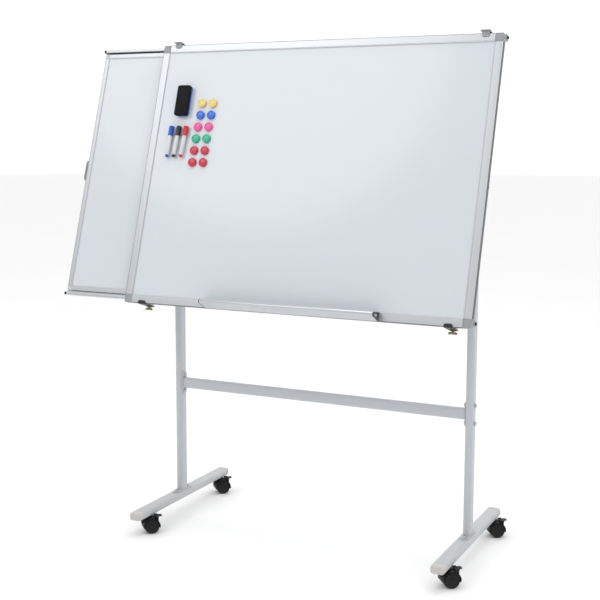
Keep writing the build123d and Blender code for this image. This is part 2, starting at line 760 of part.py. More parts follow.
# ---------------------------------------------------------------- pen tray
def tray_outline(shrink):
    """Side view of the tray: flat back, floor rising to the front and a round nose."""
    radius = tray_nose_diameter / 2
    nose = Pos(radius - tray_depth, tray_nose_level - tray_height / 2) * Circle(radius - shrink)
    back = Pos(-shrink - back_strip / 2, 0) * Rectangle(back_strip, tray_height - 2 * shrink)
    return make_hull([*nose.edges(), *back.edges()])


def tray_place(shape):
    """Put a tray piece, modelled about its own middle, on the bottom rail."""
    return Pos(tray_offset, front, -half_height + tray_height / 2) * shape


def pen_tray():
    """Tray extrusion, open along its top."""
    half = tray_length / 2 - tray_cap_thickness
    outer = extrude(Plane.YZ * tray_outline(0), half, both=True)
    inner = extrude(Plane.YZ * tray_outline(tray_wall), half, both=True)
    mouth = block((-half, half), (-tray_mouth_start - tray_mouth, -tray_mouth_start),
                  (0, tray_height))
    return outer - inner - mouth


def tray_caps():
    """Two end plates of the tray, each with a slot."""
    caps = []
    for sign in (-1, 1):
        plate = extrude(Plane.YZ * tray_outline(0), tray_cap_thickness / 2, both=True)
        slot = block((-tray_cap_thickness, tray_cap_thickness),
                     (-tray_depth / 2 - tray_slot_length / 2,
                      -tray_depth / 2 + tray_slot_length / 2),
                     (tray_slot_level - tray_slot_height / 2,
                      tray_slot_level + tray_slot_height / 2))
        caps.append(Pos(sign * (tray_length / 2 - tray_cap_thickness / 2), 0, 0)
                    * (plate - slot))
    return caps


# ---------------------------------------------------------------- loose pieces
def eraser():
    """Felt pad on the board and a rounded grip on the pad."""
    x, z = eraser_place[0] - half_width, eraser_place[1]
    felt = Pos(0, -eraser_felt_thickness, 0) * extrude(
        Plane.XZ * RectangleRounded(eraser_width - 3, eraser_length - 3, eraser_rounding - 2),
        -eraser_felt_thickness)
    grip = Pos(0, -eraser_felt_thickness, 0) * extrude(
        Plane.XZ * RectangleRounded(eraser_width, eraser_length, eraser_rounding),
        eraser_grip_thickness)
    grip = fillet(grip.faces().sort_by(Axis.Y)[0].edges(), 3.0)
    return [Pos(x, sheet_front, z) * piece for piece in (felt, grip)]


def marker(x, turn):
    """Capped marker standing on its plug end, turned a little in the board's plane."""
    cap_start = marker_length / 2 - marker_cap_length
    cap = rod_z(marker_cap_diameter / 2, cap_start, marker_length / 2)
    cap = fillet(cap.edges().filter_by(GeomType.CIRCLE), 1.5)
    barrel = rod_z(marker_barrel_diameter / 2, -marker_length / 2 + marker_plug_length, cap_start)
    plug = rod_z(marker_plug_diameter / 2, -marker_length / 2,
                 -marker_length / 2 + marker_plug_length)
    depth = sheet_front - marker_gap - marker_cap_diameter / 2
    place = Pos(x - half_width, depth, marker_level) * Rot(0, turn, 0)
    return [place * piece for piece in (cap, barrel, plug)]


def magnet(x, z):
    """Round button magnet with a domed edge."""
    button = rod_y(magnet_diameter / 2, -magnet_height, 0)
    button = fillet(button.edges().filter_by(GeomType.CIRCLE).sort_by(Axis.Y)[0],
                    magnet_rounding)
    return Pos(x - half_width, sheet_front, z) * button


# ---------------------------------------------------------------- write the nodes
def write_stand():
    save("left_foot", Pos(-post_x, 0, 0) * foot())
    save("right_foot", Pos(post_x, 0, 0) * foot())
    back_cap = foot_end_cap()
    caps = [back_cap, mirror(back_cap, about=Plane.XZ)]
    save("foot_end_caps", *[Pos(side * post_x, 0, 0) * cap for side in (-1, 1) for cap in caps])
    save("left_post", Pos(-post_x, 0, 0) * post())
    save("right_post", Pos(post_x, 0, 0) * post())
    save("crossbar", crossbar())
    save("stand_bolts", *place_stand_fasteners(stand_bolt, False))
    save("stand_nuts", *place_stand_fasteners(lambda grip: stand_nut(), True))
    save("post_heads", *both_sides(Pos(post_x, 0, 0) * post_head()))
    save("pivot_bolts", *both_sides(Pos(post_x, 0, pivot_height) * pivot_bolt()))
    left_knob, right_knob = reversed(both_sides(Pos(post_x, 0, pivot_height) * tilt_knob()))
    save("left_tilt_knob", left_knob)
    save("right_tilt_knob", right_knob)


def write_casters():
    save("caster_sockets", *[place_caster(corner, caster_socket()) for corner in caster_turn])
    save("caster_stems", *[place_caster(corner, caster_stem()) for corner in caster_turn])
    for corner in caster_turn:
        save(f"caster_{corner}_housing", place_caster(corner, caster_housing()))
        save(f"caster_{corner}_wheels",
             *[place_caster(corner, piece) for piece in caster_wheels()])
        save(f"caster_{corner}_brake", place_caster(corner, caster_brake()))


def write_arms():
    for side, name in ((-1, "left"), (1, "right")):
        place = Pos(side * post_x, 0, 0)
        save(f"{name}_arm", on_board(place * carrier_arm()))
        save(f"{name}_thumb_screw", on_board(place * thumb_screw()))
    save("top_hooks", *[on_board(hook) for hook in both_sides(Pos(post_x, 0, 0) * top_hook())])
    save("bottom_clamps",
         *[on_board(Pos(side * post_x, 0, 0) * bottom_clamp()) for side in (-1, 1)])


def write_board():
    panel = panel_layer(board_width, board_height, frame_face, panel_bite,
                        sheet_front, panel_thickness)
    top, bottom, left, right, caps = frame_pieces(
        board_width, board_height, frame_face, frame_depth, front, panel)
    save("frame_top_rail", on_board(top))
    save("frame_bottom_rail", on_board(bottom))
    save("frame_side_rails", on_board(left), on_board(right))
    save("frame_corner_caps", *[on_board(cap) for cap in caps])
    start = sheet_front
    for name, thickness in (("writing_sheet", sheet_thickness),
                            ("board_core", core_thickness),
                            ("backing_sheet", backing_thickness)):
        layer = panel_layer(board_width, board_height, frame_face, panel_bite, start, thickness)
        save(name, on_board(layer))
        start += thickness
    save("guide_channels", *[on_board(piece) for piece in top_and_bottom(guide_channel())])
    save("channel_end_plugs", *[on_board(piece) for piece in top_and_bottom(channel_plug())])


def write_side_panel():
    place = Pos(side_middle, 0, side_rise)
    inner_start = side_front + side_lip
    panel = panel_layer(side_width, side_height, side_face, side_bite,
                        inner_start, sheet_thickness + side_core_thickness)
    top, bottom, left, right, caps = frame_pieces(
        side_width, side_height, side_face, side_depth, side_front, panel)
    rails = [on_board(place * rail) for rail in (top, bottom, left, right)]
    save("side_panel_frame", *rails)
    save("side_panel_corner_caps", *[on_board(place * cap) for cap in caps])
    sheet = panel_layer(side_width, side_height, side_face, side_bite,
                        inner_start, sheet_thickness)
    core = panel_layer(side_width, side_height, side_face, side_bite,
                       inner_start + sheet_thickness, side_core_thickness)
    save("side_panel_sheet", on_board(place * sheet))
    save("side_panel_core", on_board(place * core))
    save("guide_bars", *[on_board(piece) for piece in top_and_bottom(guide_bar())])
    save("runner_strips", *[on_board(piece) for piece in top_and_bottom(runner_strip())])
    save("guide_bar_knobs", *[on_board(piece) for piece in top_and_bottom(end_knob())])
    save("side_panel_handle", on_board(pull_handle()))


def write_tray_and_loose_pieces():
    save("pen_tray", on_board(tray_place(pen_tray())))
    save("tray_end_caps", *[on_board(tray_place(cap)) for cap in tray_caps()])
    save("eraser", *[on_board(piece) for piece in eraser()])
    for colour, (x, turn) in marker_places.items():
        save(f"marker_{colour}", *[on_board(piece) for piece in marker(x, turn)])
    magnets = {}
    for row, (colour, shift) in enumerate(magnet_rows):
        for column in range(2):
            x = magnet_first[0] + shift + column * magnet_pitch_x
            z = magnet_first[1] - row * magnet_pitch_z
            magnets.setdefault(colour, []).append(on_board(magnet(x, z)))
    for colour, pieces in magnets.items():
        save(f"magnets_{colour}", *pieces)


write_stand()
write_casters()
write_arms()
write_board()
write_side_panel()
write_tray_and_loose_pieces()
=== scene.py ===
"""Looks of the rolling whiteboard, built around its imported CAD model.

Every size and place comes from the frame. Board pieces are worked out in board
coordinates, which are across (to the right), depth (behind the tilt axis) and
height (up the board from the tilt axis), and on_board() puts them in the frame.
"""
import json
import math

import bmesh
import bpy
import numpy as np
from bpy.props import FloatProperty, FloatVectorProperty, IntProperty, PointerProperty
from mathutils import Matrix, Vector

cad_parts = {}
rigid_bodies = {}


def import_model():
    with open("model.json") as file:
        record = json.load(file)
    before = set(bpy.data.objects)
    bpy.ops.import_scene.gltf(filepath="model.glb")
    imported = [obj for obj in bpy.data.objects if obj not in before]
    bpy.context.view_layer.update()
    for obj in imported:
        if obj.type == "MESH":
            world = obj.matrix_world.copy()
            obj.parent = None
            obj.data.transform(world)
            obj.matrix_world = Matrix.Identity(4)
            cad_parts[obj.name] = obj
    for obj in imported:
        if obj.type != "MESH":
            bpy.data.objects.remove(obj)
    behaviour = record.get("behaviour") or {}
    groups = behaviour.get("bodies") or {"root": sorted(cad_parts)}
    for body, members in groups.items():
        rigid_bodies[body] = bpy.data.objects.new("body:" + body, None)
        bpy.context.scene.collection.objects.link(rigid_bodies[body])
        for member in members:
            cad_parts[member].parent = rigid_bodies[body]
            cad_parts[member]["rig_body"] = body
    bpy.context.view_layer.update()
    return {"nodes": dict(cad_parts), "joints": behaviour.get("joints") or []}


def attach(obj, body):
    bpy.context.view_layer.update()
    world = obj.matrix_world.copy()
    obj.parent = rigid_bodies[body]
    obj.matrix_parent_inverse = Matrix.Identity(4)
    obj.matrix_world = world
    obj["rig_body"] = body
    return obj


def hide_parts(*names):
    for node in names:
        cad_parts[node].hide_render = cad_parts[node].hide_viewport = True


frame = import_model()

bl_info = {
    "name": "Rolling whiteboard",
    "version": (1, 0, 0),
    "blender": (4, 5, 0),
    "location": "View3D > Sidebar > Whiteboard",
    "description": "Builds the visible pieces and finishes of a rolling whiteboard",
    "category": "Object",
}

MM = 0.001
JOINTS = {joint["name"]: joint for joint in frame["joints"]}
PIVOT = np.array(JOINTS["board_tilt"]["pos_m"], float)
OUTWARD = np.array(JOINTS["eraser_lift_off"]["axis"], float)
ACROSS = np.array([1.0, 0.0, 0.0])
BOARD_AXES = np.stack([ACROSS, -OUTWARD, np.cross(OUTWARD, ACROSS)])
LEAN = math.atan2(BOARD_AXES[2][1], BOARD_AXES[2][2])
CASTERS = ("lf", "lr", "rf", "rr")
ROOM_BEHIND = (0.55, 1.12)      # brightness in front of the board and behind it
ROOM_ABOVE = (0.55, 1.0)        # at the horizon and overhead
EDGE_ANGLE = math.radians(38)
CAP_RADII = np.array([13.0, 7.0]) * MM        # foot end caps, in plan and from the side
FOOT_ROUNDING = 8 * MM          # long edges of the foot section
FLANGE_THICKNESS = 3 * MM       # crossbar end plates
CLAMP_THICKNESS = 3.0 * MM
CLAMP_LIP_WIDTH = 27 * MM
CLAMP_LIP_ROUNDING = 7 * MM
CLAMP_BEND = 3.2 * MM
MARKER_CAP_LENGTH = 34 * MM


# ---------------------------------------------------------------- places in the frame
def points_of(node):
    """A CAD node's points at rest, as rows of an array."""
    mesh = frame["nodes"][node].data
    flat = np.zeros(len(mesh.vertices) * 3, np.float32)
    mesh.vertices.foreach_get("co", flat)
    return flat.reshape(-1, 3).astype(float)


def board_points(node):
    """A CAD node's points in board coordinates."""
    return (points_of(node) - PIVOT) @ BOARD_AXES.T


def on_board(points):
    """Board coordinates to the frame: pivot + across, depth and height along the board's axes."""
    return PIVOT + points @ BOARD_AXES


def limits(points):
    """Lowest and highest corner of some points."""
    return points.min(axis=0), points.max(axis=0)


def groups(points, gap, axes=(0, 2)):
    """Split points into solids wherever a space wider than gap opens along one of the axes."""
    found = [points]
    for axis in axes:
        parts = []
        for group in found:
            ordered = group[np.argsort(group[:, axis])]
            cuts = np.nonzero(np.diff(ordered[:, axis]) > gap)[0] + 1
            parts.extend(np.split(ordered, cuts))
        found = parts
    return found


def long_axis(points):
    """Middle of some points and the direction of their longest spread, pointing upwards."""
    low, high = limits(points)
    middle = (low + high) / 2
    direction = np.linalg.svd(points - points.mean(axis=0), full_matrices=False)[2][0]
    return middle, direction * np.sign(direction[2])


# ---------------------------------------------------------------- outlines, in two dimensions
def arc(centre, radius, start, end, count=7):
    """Points on a circle from one angle to another, in degrees."""
    angle = np.radians(np.linspace(start, end, count))
    return np.array(centre) + radius * np.stack([np.cos(angle), np.sin(angle)], axis=-1)


def rounded(width, height, radii, count=6):
    """A rectangle about the origin; its corners are arcs, from the top right one round to the left."""
    radii = np.broadcast_to(radii, 4)
    signs = ((1, 1), (-1, 1), (-1, -1), (1, -1))
    return np.concatenate([
        arc((sx * (width / 2 - r), sy * (height / 2 - r)), r, 90 * i, 90 * i + 90, count)
        for i, ((sx, sy), r) in enumerate(zip(signs, radii))])


def oval(width, height, count=17):
    """A flat oval about the origin: two half circles joined by straight sides along the longer way."""
    if width < height:
        return oval(height, width, count)[:, ::-1][::-1]
    r = height / 2
    return np.concatenate([arc((width / 2 - r, 0), r, -90, 90, count),
                           arc((r - width / 2, 0), r, 90, 270, count)])


def lobed(radius, lobes, depth, count=144):
    """A circle whose radius dips by depth between its lobes: r - depth * (1 - cos(lobes * a)) / 2."""
    angle = np.linspace(0, 2 * np.pi, count, endpoint=False)
    r = radius - depth * (1 - np.cos(lobes * angle)) / 2
    return r[:, None] * np.stack([np.cos(angle), np.sin(angle)], axis=-1)


# ---------------------------------------------------------------- surfaces
def along(axis, outline, places, scales=None):
    """Rings of one outline at places along an axis (0, 1 or 2), each scaled about the axis.

    The outline's two coordinates go to the other two axes, in their usual order.
    """
    places = np.asarray(places, float)
    scales = np.ones((len(places), 1)) if scales is None else np.reshape(scales, (len(places), -1))
    flat = outline[None] * (scales if scales.shape[1] == 2 else scales.repeat(2, axis=1))[:, None]
    rings = np.empty((len(places), len(outline), 3))
    rings[:, :, [i for i in range(3) if i != axis]] = flat
    rings[:, :, axis] = places[:, None]
    return rings


def turned(profile, origin, axis, count=48, wave=None):
    """Rings of a profile of (distance along, radius) rows turned about an axis.

    A point is origin + along * axis + radius * (1 + wave) * (cos a * side + sin a * other).
    """
    axis = np.array(axis, float) / np.linalg.norm(axis)
    side = np.cross(axis, (0.31, 0.87, 0.39))
    side /= np.linalg.norm(side)
    other = np.cross(axis, side)
    angle = np.linspace(0, 2 * np.pi, count, endpoint=False)
    around = np.cos(angle)[:, None] * side + np.sin(angle)[:, None] * other
    profile = np.asarray(profile, float)
    radius = np.repeat(profile[:, 1:2], count, axis=1)
    if wave is not None:
        radius = radius * (1 + wave(profile[:, :1], angle[None]))
    return np.array(origin) + profile[:, :1, None] * axis + radius[:, :, None] * around


def inset_rings(outline_at, steps):
    """Rings of an outline that depends on an inset; each step is (place, inset)."""
    return np.stack([np.column_stack([outline_at(inset), np.full(len(outline_at(inset)), place)])
                     for place, inset in steps])


def bead(path, radius, ripple, pitch):
    """A weld bead along a closed path: a ring of small circles whose radius ripples along it.

    The circle's plane holds the path's side and the upright, and r = radius * (1 + ripple * sin).
    """
    ahead = np.roll(path, -1, axis=0) - np.roll(path, 1, axis=0)
    ahead /= np.linalg.norm(ahead, axis=1)[:, None]
    upright = np.cross(ahead[0], ahead[len(path) // 4])
    upright /= np.linalg.norm(upright)
    side = np.cross(ahead, upright)
    run = np.concatenate([[0], np.cumsum(np.linalg.norm(np.diff(path, axis=0), axis=1))])
    size = radius * (1 + ripple * np.sin(2 * np.pi * run / pitch))
    angle = np.linspace(0, 2 * np.pi, 8, endpoint=False)
    ring = np.cos(angle)[None, :, None] * side[:, None] + np.sin(angle)[None, :, None] * upright
    return path[:, None] + size[:, None, None] * ring


def faces_of(shape, closed_path=False):
    """Quads between neighbouring rings, and one flat face on each end unless the path closes."""
    rings, count = shape
    index = np.arange(rings * count).reshape(rings, count)
    low = index if closed_path else index[:-1]
    high = np.roll(index, -1, axis=0) if closed_path else index[1:]
    quads = np.stack([low, np.roll(low, -1, axis=1), np.roll(high, -1, axis=1), high], axis=-1)
    faces = quads.reshape(-1, 4).tolist()
    if not closed_path:
        faces += [index[0, ::-1].tolist(), index[-1].tolist()]
    return faces


class Shape:
    """Closed surfaces gathered into one piece, each with the number of its finish."""

    def __init__(self):
        self.points = []
        self.faces = []
        self.finish = []
        self.count = 0

    def add(self, rings, finish=0, closed_path=False):
        """Add a surface. finish is one number, or one for each edge of the outline."""
        faces = faces_of(rings.shape[:2], closed_path)
        self.points.append(rings.reshape(-1, 3))
        self.faces += [[corner + self.count for corner in face] for face in faces]
        marks = np.tile(np.broadcast_to(finish, rings.shape[1]), len(rings))[:len(faces)]
        marks = marks if closed_path else np.append(marks[:len(faces) - 2], [marks[0]] * 2)
        self.finish += marks.tolist()
        self.count += rings.shape[0] * rings.shape[1]
        return self

    def piece(self, name, body, nodes, slot, finishes, edge=0.0):
        """Make the mesh, close its poles, turn its faces outwards, and join it to its body."""
        mesh = bpy.data.meshes.new(name)
        mesh.from_pydata(np.concatenate(self.points).tolist(), [], self.faces)
        mesh.polygons.foreach_set("material_index", np.array(self.finish, np.int32))
        tidy_mesh(mesh)
        return set_piece(mesh, name, body, nodes, finishes, edge)


def tidy_mesh(mesh, flat_angle=0.0):
    """Merge doubled points, drop what collapsed, and turn every face outwards."""
    work = bmesh.new()
    work.from_mesh(mesh)
    bmesh.ops.remove_doubles(work, verts=work.verts, dist=1e-6)
    bmesh.ops.dissolve_degenerate(work, edges=work.edges, dist=1e-7)
    if flat_angle:
        bmesh.ops.dissolve_limit(work, angle_limit=flat_angle, verts=work.verts, edges=work.edges)
    bmesh.ops.recalc_face_normals(work, faces=work.faces)
    work.to_mesh(mesh)
    work.free()


def set_piece(mesh, name, body, nodes, finishes, edge):
    """An object for a finished mesh: smooth but for its real edges, which a bevel rounds."""
    thing = bpy.data.objects.new(name, mesh)
    bpy.context.scene.collection.objects.link(thing)
    for finish in finishes:
        mesh.materials.append(finish)
    mesh.shade_smooth()
    if edge:
        bevel = thing.modifiers.new("rounded edges", "BEVEL")
        bevel.width = edge
        bevel.segments = 2
        bevel.limit_method = "ANGLE"
        bevel.angle_limit = EDGE_ANGLE
        bevel.harden_normals = True
    else:
        mesh.set_sharp_from_angle(angle=EDGE_ANGLE)
    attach(thing, body)
    if nodes:
        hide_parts(*nodes)
    return thing


def softened(node, name, finishes, edge, pick=None):
    """A merged copy of a CAD node with its edges rounded, standing for that node.

    pick(middle, normal), in board coordinates, says which faces take the second finish.
    """
    source = frame["nodes"][node]
    mesh = source.data.copy()
    mesh.materials.clear()
    mesh.name = name
    tidy_mesh(mesh, flat_angle=math.radians(0.5))
    for face in mesh.polygons:
        middle = BOARD_AXES @ (np.array(face.center) - PIVOT)
        face.material_index = int(bool(pick and pick(middle, BOARD_AXES @ np.array(face.normal))))
    return set_piece(mesh, name, source["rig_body"], (node,), finishes, edge)


# ---------------------------------------------------------------- finishes
class Wire:
    """A shader socket with arithmetic: an expression on wires adds its Math nodes."""

    def __init__(self, finish, socket):
        self.finish = finish
        self.socket = socket

    def math(self, operation, first, second=0.0):
        return self.finish.node("ShaderNodeMath", {"operation": operation}, {0: first, 1: second})

    def __add__(self, other):
        return self.math("ADD", self, other)

    def __sub__(self, other):
        return self.math("SUBTRACT", self, other)

    def __rsub__(self, other):
        return self.math("SUBTRACT", other, self)

    def __mul__(self, other):
        return self.math("MULTIPLY", self, other)

    def __truediv__(self, other):
        return self.math("DIVIDE", self, other)

    def __pow__(self, other):
        return self.math("POWER", self, other)

    def clamped(self):
        return self.finish.node("ShaderNodeClamp", {}, {"Value": self})

    __radd__ = __add__
    __rmul__ = __mul__


class Finish:
    """A procedural material on object coordinates. Constants go straight on the shader's sockets."""

    def __init__(self, name, colour, roughness, **constants):
        self.material = bpy.data.materials.new(name)
        self.material.use_nodes = True
        self.tree = self.material.node_tree
        self.shader = self.tree.nodes["Principled BSDF"]
        self.shader.inputs["Base Color"].default_value = (*colour, 1)
        self.shader.inputs["Roughness"].default_value = roughness
        for socket, value in constants.items():
            self.shader.inputs[socket.replace("_", " ")].default_value = value
        self.places = self.node("ShaderNodeTexCoord", {}, {}, "Object")

    def node(self, kind, settings, values, output=0):
        """Add a node: its settings first, then the values or links of its sockets."""
        made = self.tree.nodes.new(kind)
        for key, value in settings.items():
            if key == "stops":
                ramp = made.color_ramp.elements
                while len(ramp) < len(value):
                    ramp.new(1.0)
                for element, (position, colour) in zip(ramp, value):
                    element.position = position
                    element.color = (*colour, 1)
            else:
                setattr(made, key, value)
        for key, value in values.items():
            if isinstance(value, Wire):
                self.tree.links.new(value.socket, made.inputs[key])
            else:
                made.inputs[key].default_value = value
        return Wire(self, made.outputs[output])

    def stretched(self, scale, lean=0.0):
        """Object coordinates scaled along each axis, after turning them about X."""
        turned_back = self.node("ShaderNodeMapping", {}, {"Vector": self.places, "Rotation": (lean, 0, 0)})
        return self.node("ShaderNodeMapping", {}, {"Vector": turned_back, "Scale": scale})

    def noise(self, scale, detail=2.0, roughness=0.5, places=None, distortion=0.0):
        return self.node("ShaderNodeTexNoise", {}, {
            "Vector": places or self.places, "Scale": scale, "Detail": detail,
            "Roughness": roughness, "Distortion": distortion})

    def mix(self, factor, first, second):
        """Blend two colours, each a wire or three numbers."""
        sides = [c if isinstance(c, Wire) else (*c, 1) for c in (first, second)]
        return self.node("ShaderNodeMix", {"data_type": "RGBA"},
                         {0: factor, 6: sides[0], 7: sides[1]}, 2)

    def height(self, axis=2):
        """One coordinate of the surface point."""
        return self.node("ShaderNodeSeparateXYZ", {}, {0: self.places}, axis)

    def step(self, value, low, high):
        """0 below low, 1 above high, and a smooth rise between them."""
        return self.node("ShaderNodeMapRange", {"interpolation_type": "SMOOTHSTEP"},
                         {"Value": value, "From Min": low, "From Max": high})

    def set(self, socket, wire):
        self.tree.links.new(wire.socket, self.shader.inputs[socket])

    def bump(self, height, distance, strength=1.0):
        bumped = self.node("ShaderNodeBump", {}, {
            "Height": height, "Distance": distance, "Strength": strength})
        self.set("Normal", bumped)


def shade(colour, factor):
    """A colour made lighter or darker by a factor."""
    return tuple(min(1.0, c * factor) for c in colour)


def powder_coat(name, colour, dust=0.0):
    """Sprayed and baked coat: a fine orange peel, soft clouding, and dust low down."""
    f = Finish(name, colour, 0.42)
    cloud = f.noise(9.0, 3.0)
    paint = f.mix(cloud, shade(colour, 0.955), shade(colour, 1.03))
    if dust:
        low = (1 - f.step(f.height(), 0.02, 0.34)) * f.noise(55.0, 4.0, 0.65) * dust
        paint = f.mix(low.clamped(), paint, (0.42, 0.39, 0.35))
    f.set("Base Color", paint)
    f.set("Roughness", cloud * 0.14 + 0.36)
    f.bump(f.noise(620.0, 2.0) + f.noise(2400.0, 1.0) * 0.3, 0.00012, 0.5)
    return f.material


def anodised(name, colour, grain, lean=0.0, metallic=0.72):
    """Satin anodised extrusion: fine drawn lines along the grain, and faint handling marks."""
    f = Finish(name, colour, 0.38, Metallic=metallic)
    fine = f.noise(1.0, 3.0, 0.6, f.stretched(grain, lean))
    wide = f.noise(1.0, 2.0, 0.5, f.stretched(tuple(g * 0.22 for g in grain), lean))
    marks = f.step(f.noise(14.0, 5.0, 0.7, distortion=1.4), 0.60, 0.78)
    tone = (fine * 0.6 + wide * 0.4).clamped()
    f.set("Base Color", f.mix(tone, shade(colour, 0.90), shade(colour, 1.09)))
    f.set("Roughness", fine * 0.16 + marks * 0.08 + 0.28)
    f.bump(fine, 0.00005, 0.35)
    return f.material


def enamel(name, colour):
    """Dry-wipe lacquer: glossy, barely wavy, with wiped ghosts of old writing."""
    f = Finish(name, colour, 0.17, Coat_Weight=0.35, Coat_Roughness=0.08)
    wiped = f.noise(1.0, 4.0, 0.6, f.stretched((2.6, 7.5, 7.5)), 1.8)
    ghost = f.step(wiped, 0.50, 0.82)
    speckle = f.step(f.noise(260.0, 2.0), 0.66, 0.74)
    tint = f.mix((ghost * 0.05 + speckle * 0.03).clamped(), colour, (0.45, 0.48, 0.55))
    f.set("Base Color", tint)
    f.set("Roughness", ghost * 0.10 + f.noise(5.0, 2.0) * 0.05 + 0.13)
    f.bump(f.noise(14.0, 1.0) + f.noise(900.0, 1.0) * 0.004, 0.0003, 0.25)
    return f.material


def moulded(name, colour, roughness=0.5, grain=1900.0, worn=0.06, gloss=0.0, shine=0.5):
    """Moulded plastic: spark-eroded grain, uneven gloss and lightly rubbed patches."""
    f = Finish(name, colour, roughness, Coat_Weight=gloss, Specular_IOR_Level=shine)
    cloud = f.noise(45.0, 3.0)
    rubbed = f.step(f.noise(120.0, 4.0, 0.7), 0.56, 0.72)
    base = f.mix(cloud, shade(colour, 0.93), shade(colour, 1.06))
    f.set("Base Color", f.mix(rubbed * worn, base, (0.55, 0.54, 0.52)))
    f.set("Roughness", cloud * 0.12 + (roughness - 0.06))
    f.bump(f.noise(grain, 2.0), 0.00006, 0.45)
    return f.material


def rubbed_nylon(name, colour):
    """Wheel nylon: dark, with grey scuffs and floor dust on its tread."""
    f = Finish(name, colour, 0.55, Specular_IOR_Level=0.2)
    scuff = f.step(f.noise(240.0, 5.0, 0.75, distortion=0.8), 0.52, 0.70)
    dust = f.noise(90.0, 3.0) * (1 - f.step(f.height(), 0.004, 0.045))
    mixed = f.mix(scuff * 0.35, colour, shade(colour, 2.0))
    f.set("Base Color", f.mix((dust * 0.10).clamped(), mixed, (0.20, 0.19, 0.17)))
    f.set("Roughness", scuff * 0.2 + 0.45)
    f.bump(scuff + f.noise(1500.0, 2.0) * 0.5, 0.00010, 0.4)
    return f.material


def plated(name, colour, roughness=0.3):
    """Zinc plate: crystalline mottling and small dull spots."""
    f = Finish(name, colour, roughness, Metallic=0.95)
    mottled = f.noise(700.0, 3.0, 0.6)
    dull = f.step(f.noise(160.0, 4.0, 0.7), 0.55, 0.75)
    f.set("Base Color", f.mix(mottled, shade(colour, 0.8), shade(colour, 1.12)))
    f.set("Roughness", dull * 0.25 + (roughness - 0.05))
    f.bump(mottled, 0.00006, 0.4)
    return f.material


def brass(name, colour):
    """Dull brass: brown in its hollows and rubbed brighter on its high places."""
    f = Finish(name, colour, 0.4, Metallic=0.85)
    tarnish = f.step(f.noise(310.0, 4.0, 0.7), 0.40, 0.66)
    f.set("Base Color", f.mix(tarnish * 0.75, colour, shade(colour, 0.38)))
    f.set("Roughness", tarnish * 0.22 + 0.30)
    f.bump(f.noise(1300.0, 3.0), 0.00008, 0.5)
    return f.material


def galvanised(name, colour):
    """Galvanised sheet: flat crystal spangles, each with its own tone."""
    f = Finish(name, colour, 0.4, Metallic=0.75)
    spangle = f.node("ShaderNodeTexVoronoi", {"feature": "F1"}, {
        "Vector": f.places, "Scale": 95.0, "Randomness": 1.0}, "Color")
    tone = f.node("ShaderNodeSeparateXYZ", {}, {0: spangle}, 0)
    f.set("Base Color", f.mix(tone, shade(colour, 0.86), shade(colour, 1.10)))
    f.set("Roughness", tone * 0.18 + 0.30)
    f.bump(f.noise(38.0, 2.0), 0.0004, 0.3)
    return f.material


def felt(name, colour):
    """Pressed felt: short fibres, fuzzy and matt, with marker dust worked in."""
    f = Finish(name, colour, 0.95, Sheen_Weight=0.35)
    fibres = f.noise(2600.0, 4.0, 0.75, distortion=2.0)
    dusty = f.step(f.noise(90.0, 3.0), 0.45, 0.75)
    base = f.mix(fibres, shade(colour, 0.62), shade(colour, 1.35))
    f.set("Base Color", f.mix(dusty * 0.25, base, shade(colour, 0.3)))
    f.bump(fibres, 0.0005, 0.7)
    return f.material


def board_edge(name, colour):
    """Honeycomb board: brown paper fibres in layers."""
    f = Finish(name, colour, 0.9)
    layers = f.noise(1.0, 3.0, 0.6, f.stretched((60.0, 900.0, 60.0), LEAN))
    f.set("Base Color", f.mix(layers, shade(colour, 0.75), shade(colour, 1.1)))
    f.bump(layers, 0.0002, 0.5)
    return f.material


def floor_finish(name, colour):
    """Pale studio floor with very faint clouding."""
    f = Finish(name, colour, 0.85)
    f.set("Base Color", f.mix(f.noise(1.3, 3.0), shade(colour, 0.985), shade(colour, 1.01)))
    return f.material


# ---------------------------------------------------------------- sizes and colours that a user sets
def colour_property(name, description, default):
    return FloatVectorProperty(name=name, description=description, default=default,
                               subtype="COLOR", size=3, min=0.0, max=1.0)


def length_property(name, description, default):
    return FloatProperty(name=name, description=description, default=default,
                         unit="LENGTH", min=0.0)


class WhiteboardColours(bpy.types.PropertyGroup):
    """Colours of the finishes, in linear light."""

    coat: colour_property("Powder coat", "Posts, feet, crossbar and arms", (0.504, 0.529, 0.563))
    foot_cap: colour_property("Foot caps", "Plastic ends of the feet", (0.52, 0.51, 0.485))
    frame: colour_property("Frame", "Anodised frame extrusions", (0.56, 0.575, 0.60))
    corner: colour_property("Corners", "Moulded corner pieces", (0.31, 0.32, 0.34))
    sheet: colour_property("Writing sheet", "Dry-wipe lacquer", (0.632, 0.667, 0.705))
    black: colour_property("Black plastic", "Caster hoods, levers and knobs", (0.008, 0.008, 0.009))
    wheel: colour_property("Wheels", "Wheel nylon", (0.007, 0.0072, 0.0078))
    hook: colour_property("Hooks", "Coated hook steel", (0.36, 0.365, 0.38))
    brass: colour_property("Wing screws", "Brass", (0.36, 0.27, 0.15))
    felt: colour_property("Eraser pad", "Felt of the eraser", (0.03, 0.16, 0.62))


class WhiteboardSizes(bpy.types.PropertyGroup):
    """Fine shape of the visible pieces. The main sizes come from the frame."""

    edge: length_property("Edge", "Rounding of drilled, cut and folded edges", 0.5 * MM)
    face_crown: length_property("Frame crown", "How far the frame's face is domed", 0.25 * MM)
    bead_width: length_property("Inner bead", "Width of the bead along the frame's inner edge", 3.0 * MM)
    corner_radius: length_property("Corner radius", "Outer corner of the corner pieces", 6.0 * MM)
    weld: length_property("Weld bead", "Radius of the weld beads", 2.2 * MM)
    cap_flutes: IntProperty(name="Cap flutes", description="Grip flutes round a marker cap",
                            default=22, min=3)
    knob_lobes: IntProperty(name="Knob lobes", description="Lobes of a tilt knob",
                            default=6, min=3)


def sizes():
    return bpy.context.scene.whiteboard_sizes


